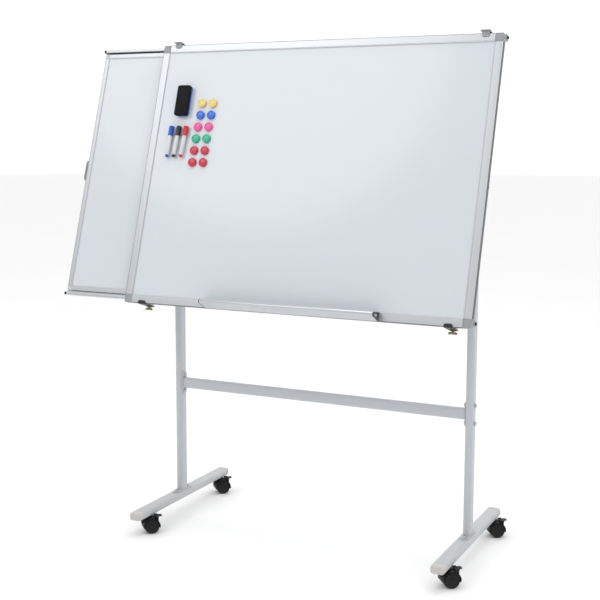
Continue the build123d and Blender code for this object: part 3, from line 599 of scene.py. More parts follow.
def colours():
    return bpy.context.scene.whiteboard_colours


FINISHES = {}


def finish(name):
    """A finish by name, made the first time that a piece asks for it."""
    if name not in FINISHES:
        FINISHES[name] = FINISH_MAKERS[name]()
    return FINISHES[name]


GRAIN_ACROSS = (5.0, 620.0, 620.0)
GRAIN_UP = (620.0, 620.0, 5.0)
FINISH_MAKERS = {
    "powder coat": lambda: powder_coat("powder_coat", colours().coat, dust=0.5),
    "weld": lambda: powder_coat("coated_weld", shade(colours().coat, 0.93)),
    "foot cap": lambda: moulded("foot_cap_plastic", colours().foot_cap, 0.5, worn=0.10),
    "frame across": lambda: anodised("anodised_across", colours().frame, GRAIN_ACROSS),
    "frame up": lambda: anodised("anodised_up", colours().frame, GRAIN_UP, LEAN),
    # Painted shade: a dark colour on the frame's outer side faces, standing for the dark line of shade along
    # the frame's outside.
    "frame painted shade": lambda: moulded("anodised_painted_shade_edge", shade(colours().frame, 0.22), 0.5),
    "corner": lambda: moulded("corner_plastic", colours().corner, 0.45),
    "light corner": lambda: moulded("light_corner_plastic", shade(colours().frame, 0.95), 0.45),
    # Painted shade: a dark coat on the front faces at the top of the hooks, standing for shade along their
    # front edge.
    "hook painted shade": lambda: powder_coat("hook_painted_shade_coat", shade(colours().hook, 0.2)),
    "enamel": lambda: enamel("dry_wipe_enamel", colours().sheet),
    "black": lambda: moulded("black_nylon", colours().black, 0.48, worn=0.01, shine=0.2),
    "wheel": lambda: rubbed_nylon("wheel_nylon", colours().wheel),
    "hook": lambda: powder_coat("hook_coat", colours().hook),
    "tray end": lambda: moulded("tray_end_plastic", (0.055, 0.056, 0.06), 0.4),
    "clamp": lambda: powder_coat("clamp_coat", (0.012, 0.012, 0.014)),
    "brass": lambda: brass("dull_brass", colours().brass),
    "dark brass": lambda: brass("tarnished_brass", shade(colours().brass, 0.3)),
    "zinc": lambda: plated("zinc_plate", (0.50, 0.51, 0.52)),
    "galvanised": lambda: galvanised("galvanised_sheet", (0.42, 0.44, 0.46)),
    "core": lambda: board_edge("core_edge", (0.45, 0.36, 0.24)),
    "handle": lambda: moulded("handle_plastic", (0.24, 0.245, 0.26), 0.45),
    "eraser grip": lambda: moulded("eraser_grip", (0.009, 0.008, 0.011), 0.7, 1100.0, 0.01, shine=0.15),
    "felt": lambda: felt("eraser_felt", colours().felt),
    "barrel": lambda: moulded("marker_barrel", (0.72, 0.73, 0.74), 0.3, gloss=0.2),
}
for shade_name, tint in {"blue": (0.01, 0.08, 0.50), "black": (0.012, 0.012, 0.014),
                         "red": (0.62, 0.02, 0.03)}.items():
    FINISH_MAKERS[f"marker {shade_name}"] = (
        lambda n=shade_name, c=tint: moulded(f"marker_{n}", c, 0.25, 2600.0, 0.02, 0.4))
for shade_name, tint in {"yellow": (0.80, 0.60, 0.16), "blue": (0.012, 0.13, 0.62),
                         "pink": (0.80, 0.075, 0.32), "green": (0.01, 0.42, 0.25),
                         "red": (0.55, 0.012, 0.05)}.items():
    FINISH_MAKERS[f"magnet {shade_name}"] = (
        lambda n=shade_name, c=tint: moulded(f"magnet_{n}", c, 0.28, 3000.0, 0.02, 0.5))


# ---------------------------------------------------------------- frame rails and corners
def rail_outline(face, depth, lip, groove, bite):
    """Section of a frame rail as (across the face from the outside, depth from the front).

    The face is crowned, d = crown * (1 - (1 - (2a / face - 1)**2)), and a small bead runs
    along the inner edge. Behind the lip a groove holds the panel.
    """
    crown = sizes().face_crown
    bead_width = sizes().bead_width
    a = np.linspace(2.0 * MM, face - bead_width - 0.6 * MM, 9)
    front = np.column_stack([a, crown * (2 * a / face - 1) ** 2 + 0.1 * MM])
    bead_arc = arc((face - bead_width / 2, bead_width / 2), bead_width / 2, 200, 360, 8)
    corner = 2.0 * MM
    return np.concatenate([
        arc((corner, corner), corner, 180, 262, 6)[:-1], front, bead_arc,
        [(face, lip), (face - bite, lip), (face - bite, lip + groove), (face, lip + groove)],
        arc((face - corner, depth - corner), corner, 0, 90, 5),
        arc((corner, depth - corner), corner, 90, 180, 5)])


def rail(low, high, inward, section):
    """Rings of a rail between two corners of its box; inward is the side that faces the panel."""
    axis = 0 if inward[2] else 2
    across_axis = 2 - axis
    sign = inward[across_axis]
    outer = low[across_axis] if sign > 0 else high[across_axis]
    rings = np.empty((2, len(section), 3))
    rings[:, :, across_axis] = outer + sign * section[:, 0]
    rings[:, :, 1] = low[1] + section[:, 1]
    rings[:, :, axis] = np.array([low[axis], high[axis]])[:, None]
    return on_board(rings)


def corner_rings(low, high, middle, radius):
    """A moulded corner piece: a square with one rounded outer corner, a soft front edge and a
    shallow line round its face. Its outline shrinks by an inset at each depth.
    """
    width, height = high[0] - low[0], high[2] - low[2]
    centre = (low + high) / 2
    side = np.sign(centre - middle)
    depth = high[1] - low[1]

    def outline(inset):
        radii = [0.8 * MM] * 4
        radii[{(1, 1): 0, (-1, 1): 1, (-1, -1): 2, (1, -1): 3}[int(side[0]), int(side[2])]] = (
            max(radius - inset, 1.0 * MM))
        return rounded(width - 2 * inset, height - 2 * inset, radii)

    steps = [(depth, 1.0), (depth - 0.8 * MM, 0.3), (depth - 1.6 * MM, 0), (1.6 * MM, 0), (0.8 * MM, 0.25),
             (0.2 * MM, 0.8), (0.0, 1.6), (0.0, 3.4), (0.45 * MM, 3.7), (0.45 * MM, 4.2), (0.0, 4.5)]
    rings = inset_rings(outline, [(place, inset * MM) for place, inset in steps])
    return on_board(np.stack([centre[0] + rings[:, :, 0], low[1] + rings[:, :, 2],
                              centre[2] + rings[:, :, 1]], axis=-1))


def build_frame(prefix, body, top, bottom, sides, lip, groove, bite, nodes):
    """Four rails of a frame as one piece for each group of like rails."""
    low, high = top
    section = rail_outline(high[2] - low[2], high[1] - low[1], lip, groove, bite)
    # outer marks the outer side faces of each rail; they take the second finish, which is painted shade.
    outer = (section[:, 0] < 1.2 * MM).astype(int)
    across, upright = Shape(), Shape()
    across.add(rail(*top, (0, 0, -1), section), outer).add(rail(*bottom, (0, 0, 1), section), outer)
    for box_low, box_high in sides:
        inward = (-np.sign(box_low[0] + box_high[0] - low[0] - high[0]), 0, 0)
        upright.add(rail(box_low, box_high, inward, section), outer)
    edge = sizes().edge * 0.6
    across.piece(f"{prefix}_long_rails", body, nodes[0], "anodised_frame",
                 [finish("frame across"), finish("frame painted shade")], edge)
    upright.piece(f"{prefix}_side_rails", body, nodes[1], "anodised_frame",
                  [finish("frame up"), finish("frame painted shade")], edge)


def panel_groove(front, panel_points):
    """Lip in front of a panel, and the panel's thickness."""
    low, high = limits(panel_points)
    return low[1] - front, high[1] - low[1]


class WHITEBOARD_OT_board_frame(bpy.types.Operator):
    """Rails and corner pieces of the main frame"""

    bl_idname = "whiteboard.board_frame"
    bl_label = "Board frame"

    def execute(self, context):
        top = limits(board_points("frame_top_rail"))
        bottom = limits(board_points("frame_bottom_rail"))
        sides = [limits(group) for group in groups(board_points("frame_side_rails"), 0.3, (0,))]
        panel = np.concatenate([board_points(node) for node in
                                ("writing_sheet", "board_core", "backing_sheet")])
        lip, groove = panel_groove(top[0][1], panel)
        bite = panel[:, 2].max() - top[0][2]
        build_frame("board", "board", top, bottom, sides, lip, groove, bite,
                    (("frame_top_rail", "frame_bottom_rail"), ("frame_side_rails",)))
        corners = Shape()
        for group in groups(board_points("frame_corner_caps"), 0.3):
            low, high = limits(group)
            corners.add(corner_rings(low, high, np.zeros(3), sizes().corner_radius))
        corners.piece("board_corners", "board", ("frame_corner_caps",), "corner_grey",
                      [finish("corner")])
        return {"FINISHED"}


class WHITEBOARD_OT_side_panel(bpy.types.Operator):
    """Rails, corners, guide bars and handle of the sliding side panel"""

    bl_idname = "whiteboard.side_panel"
    bl_label = "Side panel"

    def execute(self, context):
        points = board_points("side_panel_frame")
        caps = [limits(group) for group in groups(board_points("side_panel_corner_caps"), 0.2)]
        low, high = limits(points)
        run = sorted({round(float(v), 5) for box in caps for v in (box[0][0], box[1][0])})
        rise = sorted({round(float(v), 5) for box in caps for v in (box[0][2], box[1][2])})
        front, back = low[1], high[1]
        x0, x1, x2, x3 = run
        z0, z1, z2, z3 = rise
        box = [(np.array([a, front, c]), np.array([b, back, d])) for a, b, c, d in
               ((x1, x2, z2, z3), (x1, x2, z0, z1), (x0, x1, z1, z2), (x2, x3, z1, z2))]
        panel = np.concatenate([board_points("side_panel_sheet"), board_points("side_panel_core")])
        lip, groove = panel_groove(front, panel)
        bite = panel[:, 2].max() - z2
        build_frame("side_panel", "side_panel", box[0], box[1], box[2:], lip, groove, bite,
                    (("side_panel_frame",), ()))
        corners = Shape()
        middle = np.array([(x0 + x3) / 2, 0, (z0 + z3) / 2])
        for cap_low, cap_high in caps:
            corners.add(corner_rings(cap_low, cap_high, middle, sizes().corner_radius * 0.8))
        corners.piece("side_panel_corners", "side_panel", ("side_panel_corner_caps",),
                      "corner_grey", [finish("light corner")])
        bars = Shape()
        for group in groups(board_points("guide_bars"), 0.3, (2,)):
            low, high = limits(group)
            middle = (low + high) / 2
            outline = rounded(high[1] - low[1], high[2] - low[2], 1.6 * MM)
            bars.add(on_board(along(0, outline, (low[0] - middle[0], high[0] - middle[0])) + middle))
        bars.piece("guide_bars_drawn", "side_panel", ("guide_bars",), "anodised_frame",
                   [finish("frame across")], sizes().edge)
        self.handle()
        softened("guide_bar_knobs", "guide_bar_knobs_moulded", [finish("black")], sizes().edge)
        softened("runner_strips", "runner_strips_moulded", [finish("black"), finish("light corner")],
                 sizes().edge, lambda middle, normal: middle[2] < 0)
        return {"FINISHED"}

    def handle(self):
        """A low grip: its section is a rounded rectangle that stands out by reach * (1 - |t|**9)."""
        low, high = limits(board_points("side_panel_handle"))
        middle = (low + high) / 2
        t = np.sin(np.linspace(-np.pi / 2, np.pi / 2, 33))
        reach = (high[0] - low[0]) * np.maximum(1 - np.abs(t) ** 9, 0.04)
        depth = high[1] - low[1]
        outline = rounded(1.0, depth, depth * 0.30, 8)
        rings = along(2, outline, middle[2] + t * (high[2] - low[2]) / 2,
                      np.column_stack([reach, 0.82 + 0.18 * (1 - t ** 6)]))
        rings[:, :, 0] += (high[0] - reach / 2)[:, None]
        rings[:, :, 1] += middle[1]
        Shape().add(on_board(rings)).piece("side_panel_grip", "side_panel", ("side_panel_handle",),
                                           "handle_plastic", [finish("handle")])


# ---------------------------------------------------------------- back of the board
class WHITEBOARD_OT_back(bpy.types.Operator):
    """Guide channels, carrier arms and pivots behind the board"""

    bl_idname = "whiteboard.back"
    bl_label = "Back of the board"

    def execute(self, context):
        channels = Shape()
        wall = 1.5 * MM
        for group in groups(board_points("guide_channels"), 0.3, (2,)):
            low, high = limits(group)
            up = np.sign(low[2] + high[2])
            y0, y1 = low[1], high[1]
            closed, opened = (high[2], low[2]) if up > 0 else (low[2], high[2])
            outline = np.array([(y0, opened), (y0, closed), (y1, closed), (y1, opened),
                                (y1 - wall, opened), (y1 - wall, closed - up * wall),
                                (y0 + wall, closed - up * wall), (y0 + wall, opened)])
            channels.add(on_board(along(0, outline, (low[0], high[0]))))
        channels.piece("guide_channels_drawn", "board", ("guide_channels",), "anodised_frame",
                       [finish("frame across")], sizes().edge * 0.8)
        board_end = limits(board_points("frame_corner_caps"))[1][0]
        softened("channel_end_plugs", "channel_ends_moulded", [finish("corner"), finish("black")],
                 sizes().edge * 0.6, lambda middle, normal: middle[0] > board_end + 1.3 * MM)
        for side in ("left", "right"):
            softened(f"{side}_arm", f"{side}_arm_coated", [finish("powder coat")], sizes().edge)
        softened("post_heads", "post_heads_moulded", [finish("black")], sizes().edge * 1.5)
        for side in ("left", "right"):
            self.knob(side)
        return {"FINISHED"}

    def knob(self, side):
        """A lobed clamping knob: rings of one lobed outline, rounded at the rim, on a round hub."""
        joint = JOINTS[f"{side}_tilt_knob_turn"]
        points = points_of(f"{side}_tilt_knob")
        low, high = limits(points)
        sign = 1 if side == "right" else -1
        start, end = (low[0], high[0]) if sign > 0 else (high[0], low[0])
        radius = (high[2] - low[2]) / 2
        hub = 8.0 * MM
        length = abs(end - start) - hub
        outline = lobed(radius, sizes().knob_lobes, 5.2 * MM)
        t = np.array([0, 0.02, 0.08, 0.2, 0.75, 0.88, 0.96, 1.0, 1.0, 0.97, 0.97])
        size = np.array([0.90, 0.955, 0.985, 1.0, 1.0, 0.985, 0.94, 0.87, 0.52, 0.48, 0.0])
        grip = along(0, outline, start + sign * (hub + t * length), size)
        origin = np.array([0, *joint["pos_m"][1:]])
        neck = [(start, 11 * MM), (start + sign * (hub + 1 * MM), 9.5 * MM)]
        shape = Shape().add(grip + origin)
        shape.add(turned([(start, 0), *neck, (neck[-1][0], 0)], origin, ACROSS))
        shape.piece(f"{side}_tilt_knob_moulded", f"{side}_tilt_knob", (f"{side}_tilt_knob",),
                    "black_plastic", [finish("black")])


# ---------------------------------------------------------------- hooks, clamps and wing screws
def strap_rings(path, widths, thickness):
    """A bent strap: at each point of a path in depth and height, a thin rounded section across.

    A point is path + u * across + v * normal, with u and v on a rounded rectangle.
    """
    ahead = np.gradient(path, axis=0)
    ahead /= np.linalg.norm(ahead, axis=1)[:, None]
    normal = np.column_stack([-ahead[:, 1], ahead[:, 0]])
    unit = rounded(1.0, thickness, thickness * 0.35, 4)
    rings = np.empty((len(path), len(unit), 3))
    rings[:, :, 0] = unit[None, :, 0] * np.asarray(widths)[:, None]
    rings[:, :, 1:] = path[:, None] + unit[None, :, 1:] * normal[:, None]
    return rings


def bent_path(points, radius, count=8):
    """Three corner points in depth and height, with the middle one rounded by a tangent arc."""
    a, b, c = (np.array(p, float) for p in points)
    back, ahead = (a - b) / np.linalg.norm(a - b), (c - b) / np.linalg.norm(c - b)
    t = np.linspace(0, np.pi / 2, count)
    centre = b + radius * (back + ahead)
    bend = centre - radius * (np.cos(t)[:, None] * ahead + np.sin(t)[:, None] * back)
    return np.concatenate([np.linspace(a, bend[0], 4)[:-1], bend, np.linspace(bend[-1], c, 9)[1:]])


def lip_widths(path, lip_start, strap_width, lip_width, rounding):
    """Width of a strap along its path: it narrows at the bend, and its end is rounded."""
    run = np.concatenate([[0], np.cumsum(np.linalg.norm(np.diff(path, axis=0), axis=1))])
    left = run[-1] - run
    narrow = np.clip((run - lip_start) / (4 * MM), 0, 1)
    width = strap_width + (lip_width - strap_width) * narrow
    short = np.clip(1 - left / rounding, 0, 1)
    return width - 2 * rounding * (1 - np.sqrt(1 - (short * 0.96) ** 2))


class WHITEBOARD_OT_hooks(bpy.types.Operator):
    """Top hooks, bottom clamps and wing screws"""

    bl_idname = "whiteboard.hooks"
    bl_label = "Hooks and clamps"

    def execute(self, context):
        front = limits(board_points("frame_top_rail"))[0][1]
        # The second finish paints shade on the front and side faces of the hooks' top 3 mm, in front of the
        # frame.
        softened("top_hooks", "hooks_coated", [finish("hook"), finish("hook painted shade")], sizes().edge * 0.8,
                 lambda middle, normal: middle[1] < front and abs(normal[2]) < 0.5
                 and middle[2] > limits(board_points("top_hooks"))[1][2] - 3 * MM)
        self.clamps()
        for side in ("left", "right"):
            self.wing_screw(side)
        return {"FINISHED"}

    def clamps(self):
        """A strap under the board that turns up in front of it."""
        shape = Shape()
        for group in groups(board_points("bottom_clamps"), 0.3, (0,)):
            low, high = limits(group)
            middle = (low[0] + high[0]) / 2
            level = low[2] + CLAMP_THICKNESS / 2
            front = low[1] + CLAMP_THICKNESS / 2
            corners = ((high[1], level), (front, level), (front, high[2]))
            path = bent_path(corners, CLAMP_BEND)
            path = path[np.concatenate([[True], np.linalg.norm(np.diff(path, axis=0), axis=1) > 1e-7])]
            widths = lip_widths(path, high[1] - front - 4 * MM, high[0] - low[0],
                                CLAMP_LIP_WIDTH, CLAMP_LIP_ROUNDING)
            rings = strap_rings(path, widths, CLAMP_THICKNESS)
            rings[:, :, 0] += middle
            shape.add(on_board(rings))
        shape.piece("clamps_bent", "board", ("bottom_clamps",), "clamp_black", [finish("clamp")])

    def wing_screw(self, side):
        """A turned collar and neck, and two wings: sections of an ellipse that shrink along a curl."""
        joint = JOINTS[f"{side}_thumb_screw_turn"]
        low, high = limits(board_points(f"{side}_thumb_screw"))
        origin = (np.array(joint["pos_m"]) - PIVOT) @ BOARD_AXES.T
        origin[2] = 0.0
        bottom = low[2]
        seat = limits(board_points("bottom_clamps"))[0][2] - 0.3 * MM
        up = np.array([0.0, 0.0, 1.0])
        collar = [(seat, 0), (seat, 9.2), (seat - 0.6 * MM, 10), (seat - 1.6 * MM, 9.8),
                  (seat - 2.0 * MM, 8.6), (seat - 2.2 * MM, 0)]
        neck = [(seat - 1.8 * MM, 0), (seat - 1.8 * MM, 5.2), (seat - 3.2 * MM, 4.2),
                (seat - 4.8 * MM, 4.5), (bottom + 5.0 * MM, 5.0), (bottom + 2.0 * MM, 4.6),
                (bottom + 0.7 * MM, 3.2), (bottom + 0.3 * MM, 0)]
        to_metres = [[(a, r * MM) for a, r in part] for part in (collar, neck)]
        shape = Shape().add(on_board(turned(to_metres[0], origin, up)), 1)
        shape.add(on_board(turned(to_metres[1], origin, up)))
        reach = (high[0] - low[0]) / 2
        t = np.linspace(0, 1, 15)
        angle = np.linspace(0, 2 * np.pi, 20, endpoint=False)
        for sign in (-1, 1):
            swell = np.sqrt(np.maximum(1 - np.clip((t - 0.72) / 0.28, 0, 1) ** 2, 0))
            tall = (2.1 + 1.7 * np.sin(np.pi * np.clip(t * 0.8 + 0.1, 0, 1))) * swell * MM
            thick = (2.4 - 0.9 * t) * swell * MM
            place = origin + np.column_stack([sign * t * reach, 0.9 * MM * np.sin(np.pi * t),
                                              bottom + 4.0 * MM - 0.2 * MM * t])
            ring = np.stack([np.zeros((15, 20)), thick[:, None] * np.cos(angle),
                             tall[:, None] * np.sin(angle)], -1)
            shape.add(on_board(place[:, None] + ring))
        shape.piece(f"{side}_wing_screw", f"{side}_thumb_screw", (f"{side}_thumb_screw",),
                    "thumb_brass", [finish("brass"), finish("dark brass")])


# ---------------------------------------------------------------- pen tray
class WHITEBOARD_OT_tray(bpy.types.Operator):
    """Pen tray extrusion and its end caps"""

    bl_idname = "whiteboard.tray"
    bl_label = "Pen tray"

    def execute(self, context):
        softened("pen_tray", "tray_extrusion", [finish("frame across")], sizes().edge * 0.6)
        softened("tray_end_caps", "tray_ends_moulded", [finish("tray end")], sizes().edge)
        return {"FINISHED"}


# ---------------------------------------------------------------- eraser, markers and magnets
class WHITEBOARD_OT_loose_pieces(bpy.types.Operator):
    """Eraser, markers and magnets on the writing sheet"""

    bl_idname = "whiteboard.loose_pieces"
    bl_label = "Loose pieces"

    def execute(self, context):
        self.eraser()
        for colour in ("blue", "black", "red"):
            self.marker(colour)
        for colour in ("yellow", "blue", "pink", "green", "red"):
            self.magnets(colour)
        return {"FINISHED"}

    def eraser(self):
        """A rounded grip with a finger groove round its sides, on a felt pad."""
        low, high = limits(board_points("eraser"))
        middle = (low + high) / 2
        width, height = high[0] - low[0], high[2] - low[2]
        felt_depth = 9.0 * MM

        def outline(inset):
            radius = max(8 * MM - inset * 0.5, 2 * MM)
            return rounded(width - 2 * inset, height - 2 * inset, radius, 10)

        def placed(steps):
            rings = inset_rings(outline, [(p, i * MM) for p, i in steps])
            return on_board(np.stack([middle[0] + rings[:, :, 0], rings[:, :, 2],
                                      middle[2] + rings[:, :, 1]], axis=-1))

        back, seam = high[1], high[1] - felt_depth
        front = low[1]
        t = np.linspace(0, np.pi / 2, 8)
        shoulder = [(front + 5 * MM * (1 - math.sin(a)), 5.5 * (1 - math.cos(a))) for a in t]
        grip = [(seam + 0.3 * MM, 0.9), (seam - 0.6 * MM, 0.2), (seam - 2.2 * MM, 0.0), (seam - 4 * MM, 0.5),
                (seam - 5.6 * MM, 0.9), (seam - 7.2 * MM, 0.5)] + shoulder + [
                    (front + 0.1 * MM, 9.0), (front + 0.1 * MM, 10.0), (front + 0.7 * MM, 10.6),
                    (front + 0.7 * MM, 11.6), (front + 0.2 * MM, 12.2)]
        pad = [(back, 2.2), (back - 0.6 * MM, 1.6), (seam + 0.8 * MM, 1.5), (seam, 1.9)]
        Shape().add(placed(pad), 1).add(placed(grip)).piece(
            "eraser_block", "eraser", ("eraser",), "eraser_black",
            [finish("eraser grip"), finish("felt")])

    def marker(self, colour):
        """A capped marker turned about its own long axis, with flutes round the cap."""
        points = board_points(f"marker_{colour}")
        middle, axis = long_axis(points)
        reach = (points - middle) @ axis
        low, high = reach.min(), reach.max()
        flutes = sizes().cap_flutes
        cap_start = high - MARKER_CAP_LENGTH

        def wave(place, angle):
            inside = (place > cap_start + 5 * MM) & (place < high - 5 * MM)
            return np.where(inside, -0.035 * (1 - np.cos(flutes * angle)) / 2, 0.0)

        cap = [(cap_start, 0), (cap_start, 8.2), (cap_start + 0.5 * MM, 8.9), (cap_start + 3.6 * MM, 9.0),
               (cap_start + 4.2 * MM, 8.7), (cap_start + 4.9 * MM, 8.7), (cap_start + 5.4 * MM, 8.75),
               (high - 5.4 * MM, 8.7), (high - 4.9 * MM, 8.7), (high - 2.2 * MM, 8.6),
               (high - 0.8 * MM, 8.0),
               (high - 0.15 * MM, 7.0), (high - 0.15 * MM, 5.0), (high - 0.9 * MM, 4.5),
               (high - 0.9 * MM, 0)]
        barrel = [(low + 8 * MM, 0), (low + 8 * MM, 6.6), (low + 8.5 * MM, 6.95), (cap_start - 7 * MM, 7.0),
                  (cap_start - 5 * MM, 7.0), (cap_start - 4.6 * MM, 6.5), (cap_start - 2.8 * MM, 6.5),
                  (cap_start - 2.4 * MM, 7.0), (cap_start, 7.0), (cap_start, 0)]
        plug = [(low + 0.9 * MM, 0), (low + 0.9 * MM, 3.2), (low + 0.1 * MM, 3.8), (low + 0.1 * MM, 5.0),
                (low + 0.7 * MM, 5.8), (low + 2 * MM, 6.0), (low + 8 * MM, 6.0), (low + 8 * MM, 0)]
        shape = Shape()
        for number, (profile, waves) in enumerate(((cap, wave), (barrel, None), (plug, None))):
            rings = turned([(a, r * MM) for a, r in profile], middle, axis,
                           flutes * 6 if waves else 40, waves)
            shape.add(on_board(rings), 1 if number == 1 else 0)
        shape.piece(f"marker_{colour}_pen", f"marker_{colour}", (f"marker_{colour}",),
                    f"marker_{colour}", [finish(f"marker {colour}"), finish("barrel")])

    def magnets(self, colour):
        """Button magnets: a shallow dome, a line round it and a rounded rim."""
        shape = Shape()
        for group in groups(board_points(f"magnets_{colour}"), 8 * MM):
            low, high = limits(group)
            middle = (low + high) / 2
            radius = (high[0] - low[0]) / 2 / MM
            tall = high[1] - low[1]
            dome = [(tall - 0.5 * MM - 0.9 * MM * k * k, (radius - 5.2) * k)
                    for k in (1.0, 0.8, 0.6, 0.4, 0.2, 0.0)]
            t = np.linspace(0, np.pi / 2, 6)
            rim = [(tall - 3.4 * MM * (1 - math.sin(a)), radius - 3.4 * (1 - math.cos(a))) for a in t]
            profile = [(0, 0), (0, radius - 0.8), (0.4 * MM, radius - 0.15), (1.0 * MM, radius)] + rim + [
                (tall - 0.1 * MM, radius - 3.9), (tall - 0.8 * MM, radius - 4.5)] + dome
            origin = (middle[0], high[1], middle[2])
            shape.add(on_board(turned([(a, r * MM) for a, r in profile], origin, (0, -1, 0), 56)))
        shape.piece(f"magnets_{colour}_moulded", f"magnets_{colour}", (f"magnets_{colour}",),
                    f"magnet_{colour}", [finish(f"magnet {colour}")])


# ---------------------------------------------------------------- stand
def closed_plate(outline, axis, start, end, edge):
    """A flat plate along an axis whose rims are rounded by a small edge."""
    middle = outline.mean(axis=0)
    span = outline.max(axis=0) - outline.min(axis=0)
    sign = 1 if end > start else -1
    places = [start, start + sign * edge, end - sign * edge, end]
    scales = np.stack([1 - 2 * edge / span, np.ones(2), np.ones(2), 1 - 2 * edge / span])
    rings = along(axis, outline - middle, places, scales)
    rings[:, :, [i for i in range(3) if i != axis]] += middle
    return rings


class WHITEBOARD_OT_stand(bpy.types.Operator):
    """Posts, crossbar, feet and foot end caps"""

    bl_idname = "whiteboard.stand"
    bl_label = "Stand"

    def execute(self, context):
        edge = sizes().edge
        for side in ("left", "right"):
            self.post(side)
            softened(f"{side}_foot", f"{side}_foot_coated", [finish("powder coat")], edge)
        self.crossbar()
        self.end_caps()
        return {"FINISHED"}

    def post(self, side):
        """A flat oval tube on a welded flange, with a rippled bead round the joint."""
        points = points_of(f"{side}_post")
        low, high = limits(points)
        middle = (low + high) / 2
        flange_top = low[2] + 3 * MM
        tube_points = points[points[:, 2] > flange_top + 10 * MM]
        tube_low, tube_high = limits(tube_points)
        size = tube_high - tube_low
        tube = oval(size[0], size[1], 21)
        flange = oval(high[0] - low[0], high[1] - low[1], 21)
        shape = Shape().add(along(2, tube, (flange_top, high[2])) + (middle[0], middle[1], 0))
        shape.add(closed_plate(flange, 2, low[2], flange_top, 0.6 * MM) + (middle[0], middle[1], 0))
        smooth = oval(size[0] + 1.2 * MM, size[1] + 1.2 * MM, 90)
        path = np.column_stack([smooth, np.full(len(smooth), flange_top + 0.5 * MM)])
        path = path[np.concatenate([np.linalg.norm(np.diff(path, axis=0), axis=1) > 1e-7, [True]])]
        shape.add(bead(path + (middle[0], middle[1], 0), sizes().weld, 0.12, 2.6 * MM), 1, True)
        shape.piece(f"{side}_post_coated", "stand", (f"{side}_post",), "powder_coat",
                    [finish("powder coat"), finish("weld")])

    def crossbar(self):
        """A flat oval tube between two welded end flanges."""
        points = points_of("crossbar")
        low, high = limits(points)
        level = (low[2] + high[2]) / 2
        tube_points = points[np.abs(points[:, 0]) < high[0] - 3.5 * MM]
        if len(tube_points):
            tube_low, tube_high = limits(tube_points)
        else:
            inner = points[np.abs(np.abs(points[:, 0]) - (high[0] - 3 * MM)) < 0.2 * MM]
            near = inner[np.abs(inner[:, 2] - level) < 19.2 * MM]
            tube_low, tube_high = limits(near[np.abs(near[:, 1]) < 10.2 * MM])
        size = tube_high - tube_low
        shape = Shape()
        shape.add(along(0, oval(size[1], size[2], 17), (low[0] + 2 * MM, high[0] - 2 * MM)) + (0, 0, level))
        plate = oval(high[1] - low[1], high[2] - low[2], 17)
        for sign in (-1, 1):
            end = sign * high[0]
            inside = end - sign * FLANGE_THICKNESS
            shape.add(closed_plate(plate, 0, inside, end, 0.6 * MM) + (0, 0, level))
            smooth = oval(size[1] + 1.0 * MM, size[2] + 1.0 * MM, 70)
            path = np.column_stack([np.full(len(smooth), inside - sign * 0.5 * MM), smooth])
            path = path[np.concatenate([np.linalg.norm(np.diff(path, axis=0), axis=1) > 1e-7, [True]])]
            shape.add(bead(path + (0, 0, level), sizes().weld * 0.9, 0.12, 2.4 * MM), 1, True)
        shape.piece("crossbar_coated", "stand", ("crossbar",), "powder_coat",
                    [finish("powder coat"), finish("weld")])

    def end_caps(self):
        """Foot end caps: the foot's section, drawn in at a distance s from the tip by
        r - sqrt(r**2 - (r - s)**2), with one radius in plan and another from the side.
        """
        shape = Shape()
        foot_end = limits(points_of("left_foot"))[1][1]
        for group in groups(points_of("foot_end_caps"), 0.2, (0, 1)):
            low, high = limits(group)
            sign = np.sign(low[1] + high[1])
            start = foot_end * sign
            tip = high[1] if sign > 0 else low[1]
            centre = ((low[0] + high[0]) / 2, (low[2] + high[2]) / 2)
            size = np.array([high[0] - low[0], high[2] - low[2]])
            outline = rounded(*size, FOOT_ROUNDING, 8)
            gap = np.concatenate([[abs(tip - start), abs(tip - start) - 0.5 * MM],
                                  CAP_RADII[0] * (1 - np.sin(np.linspace(0, np.pi / 2, 16)))])
            short = np.maximum(CAP_RADII - gap[:, None], 0)
            inset = CAP_RADII - np.sqrt(CAP_RADII ** 2 - short ** 2)
            inset[0] += 0.25 * MM
            rings = along(1, outline, tip - sign * gap, 1 - 2 * inset / size)
            rings[:, :, 0] += centre[0]
            rings[:, :, 2] += centre[1]
            shape.add(rings)
        shape.piece("foot_caps_moulded", "stand", ("foot_end_caps",), "cap_plastic",
                    [finish("foot cap")])


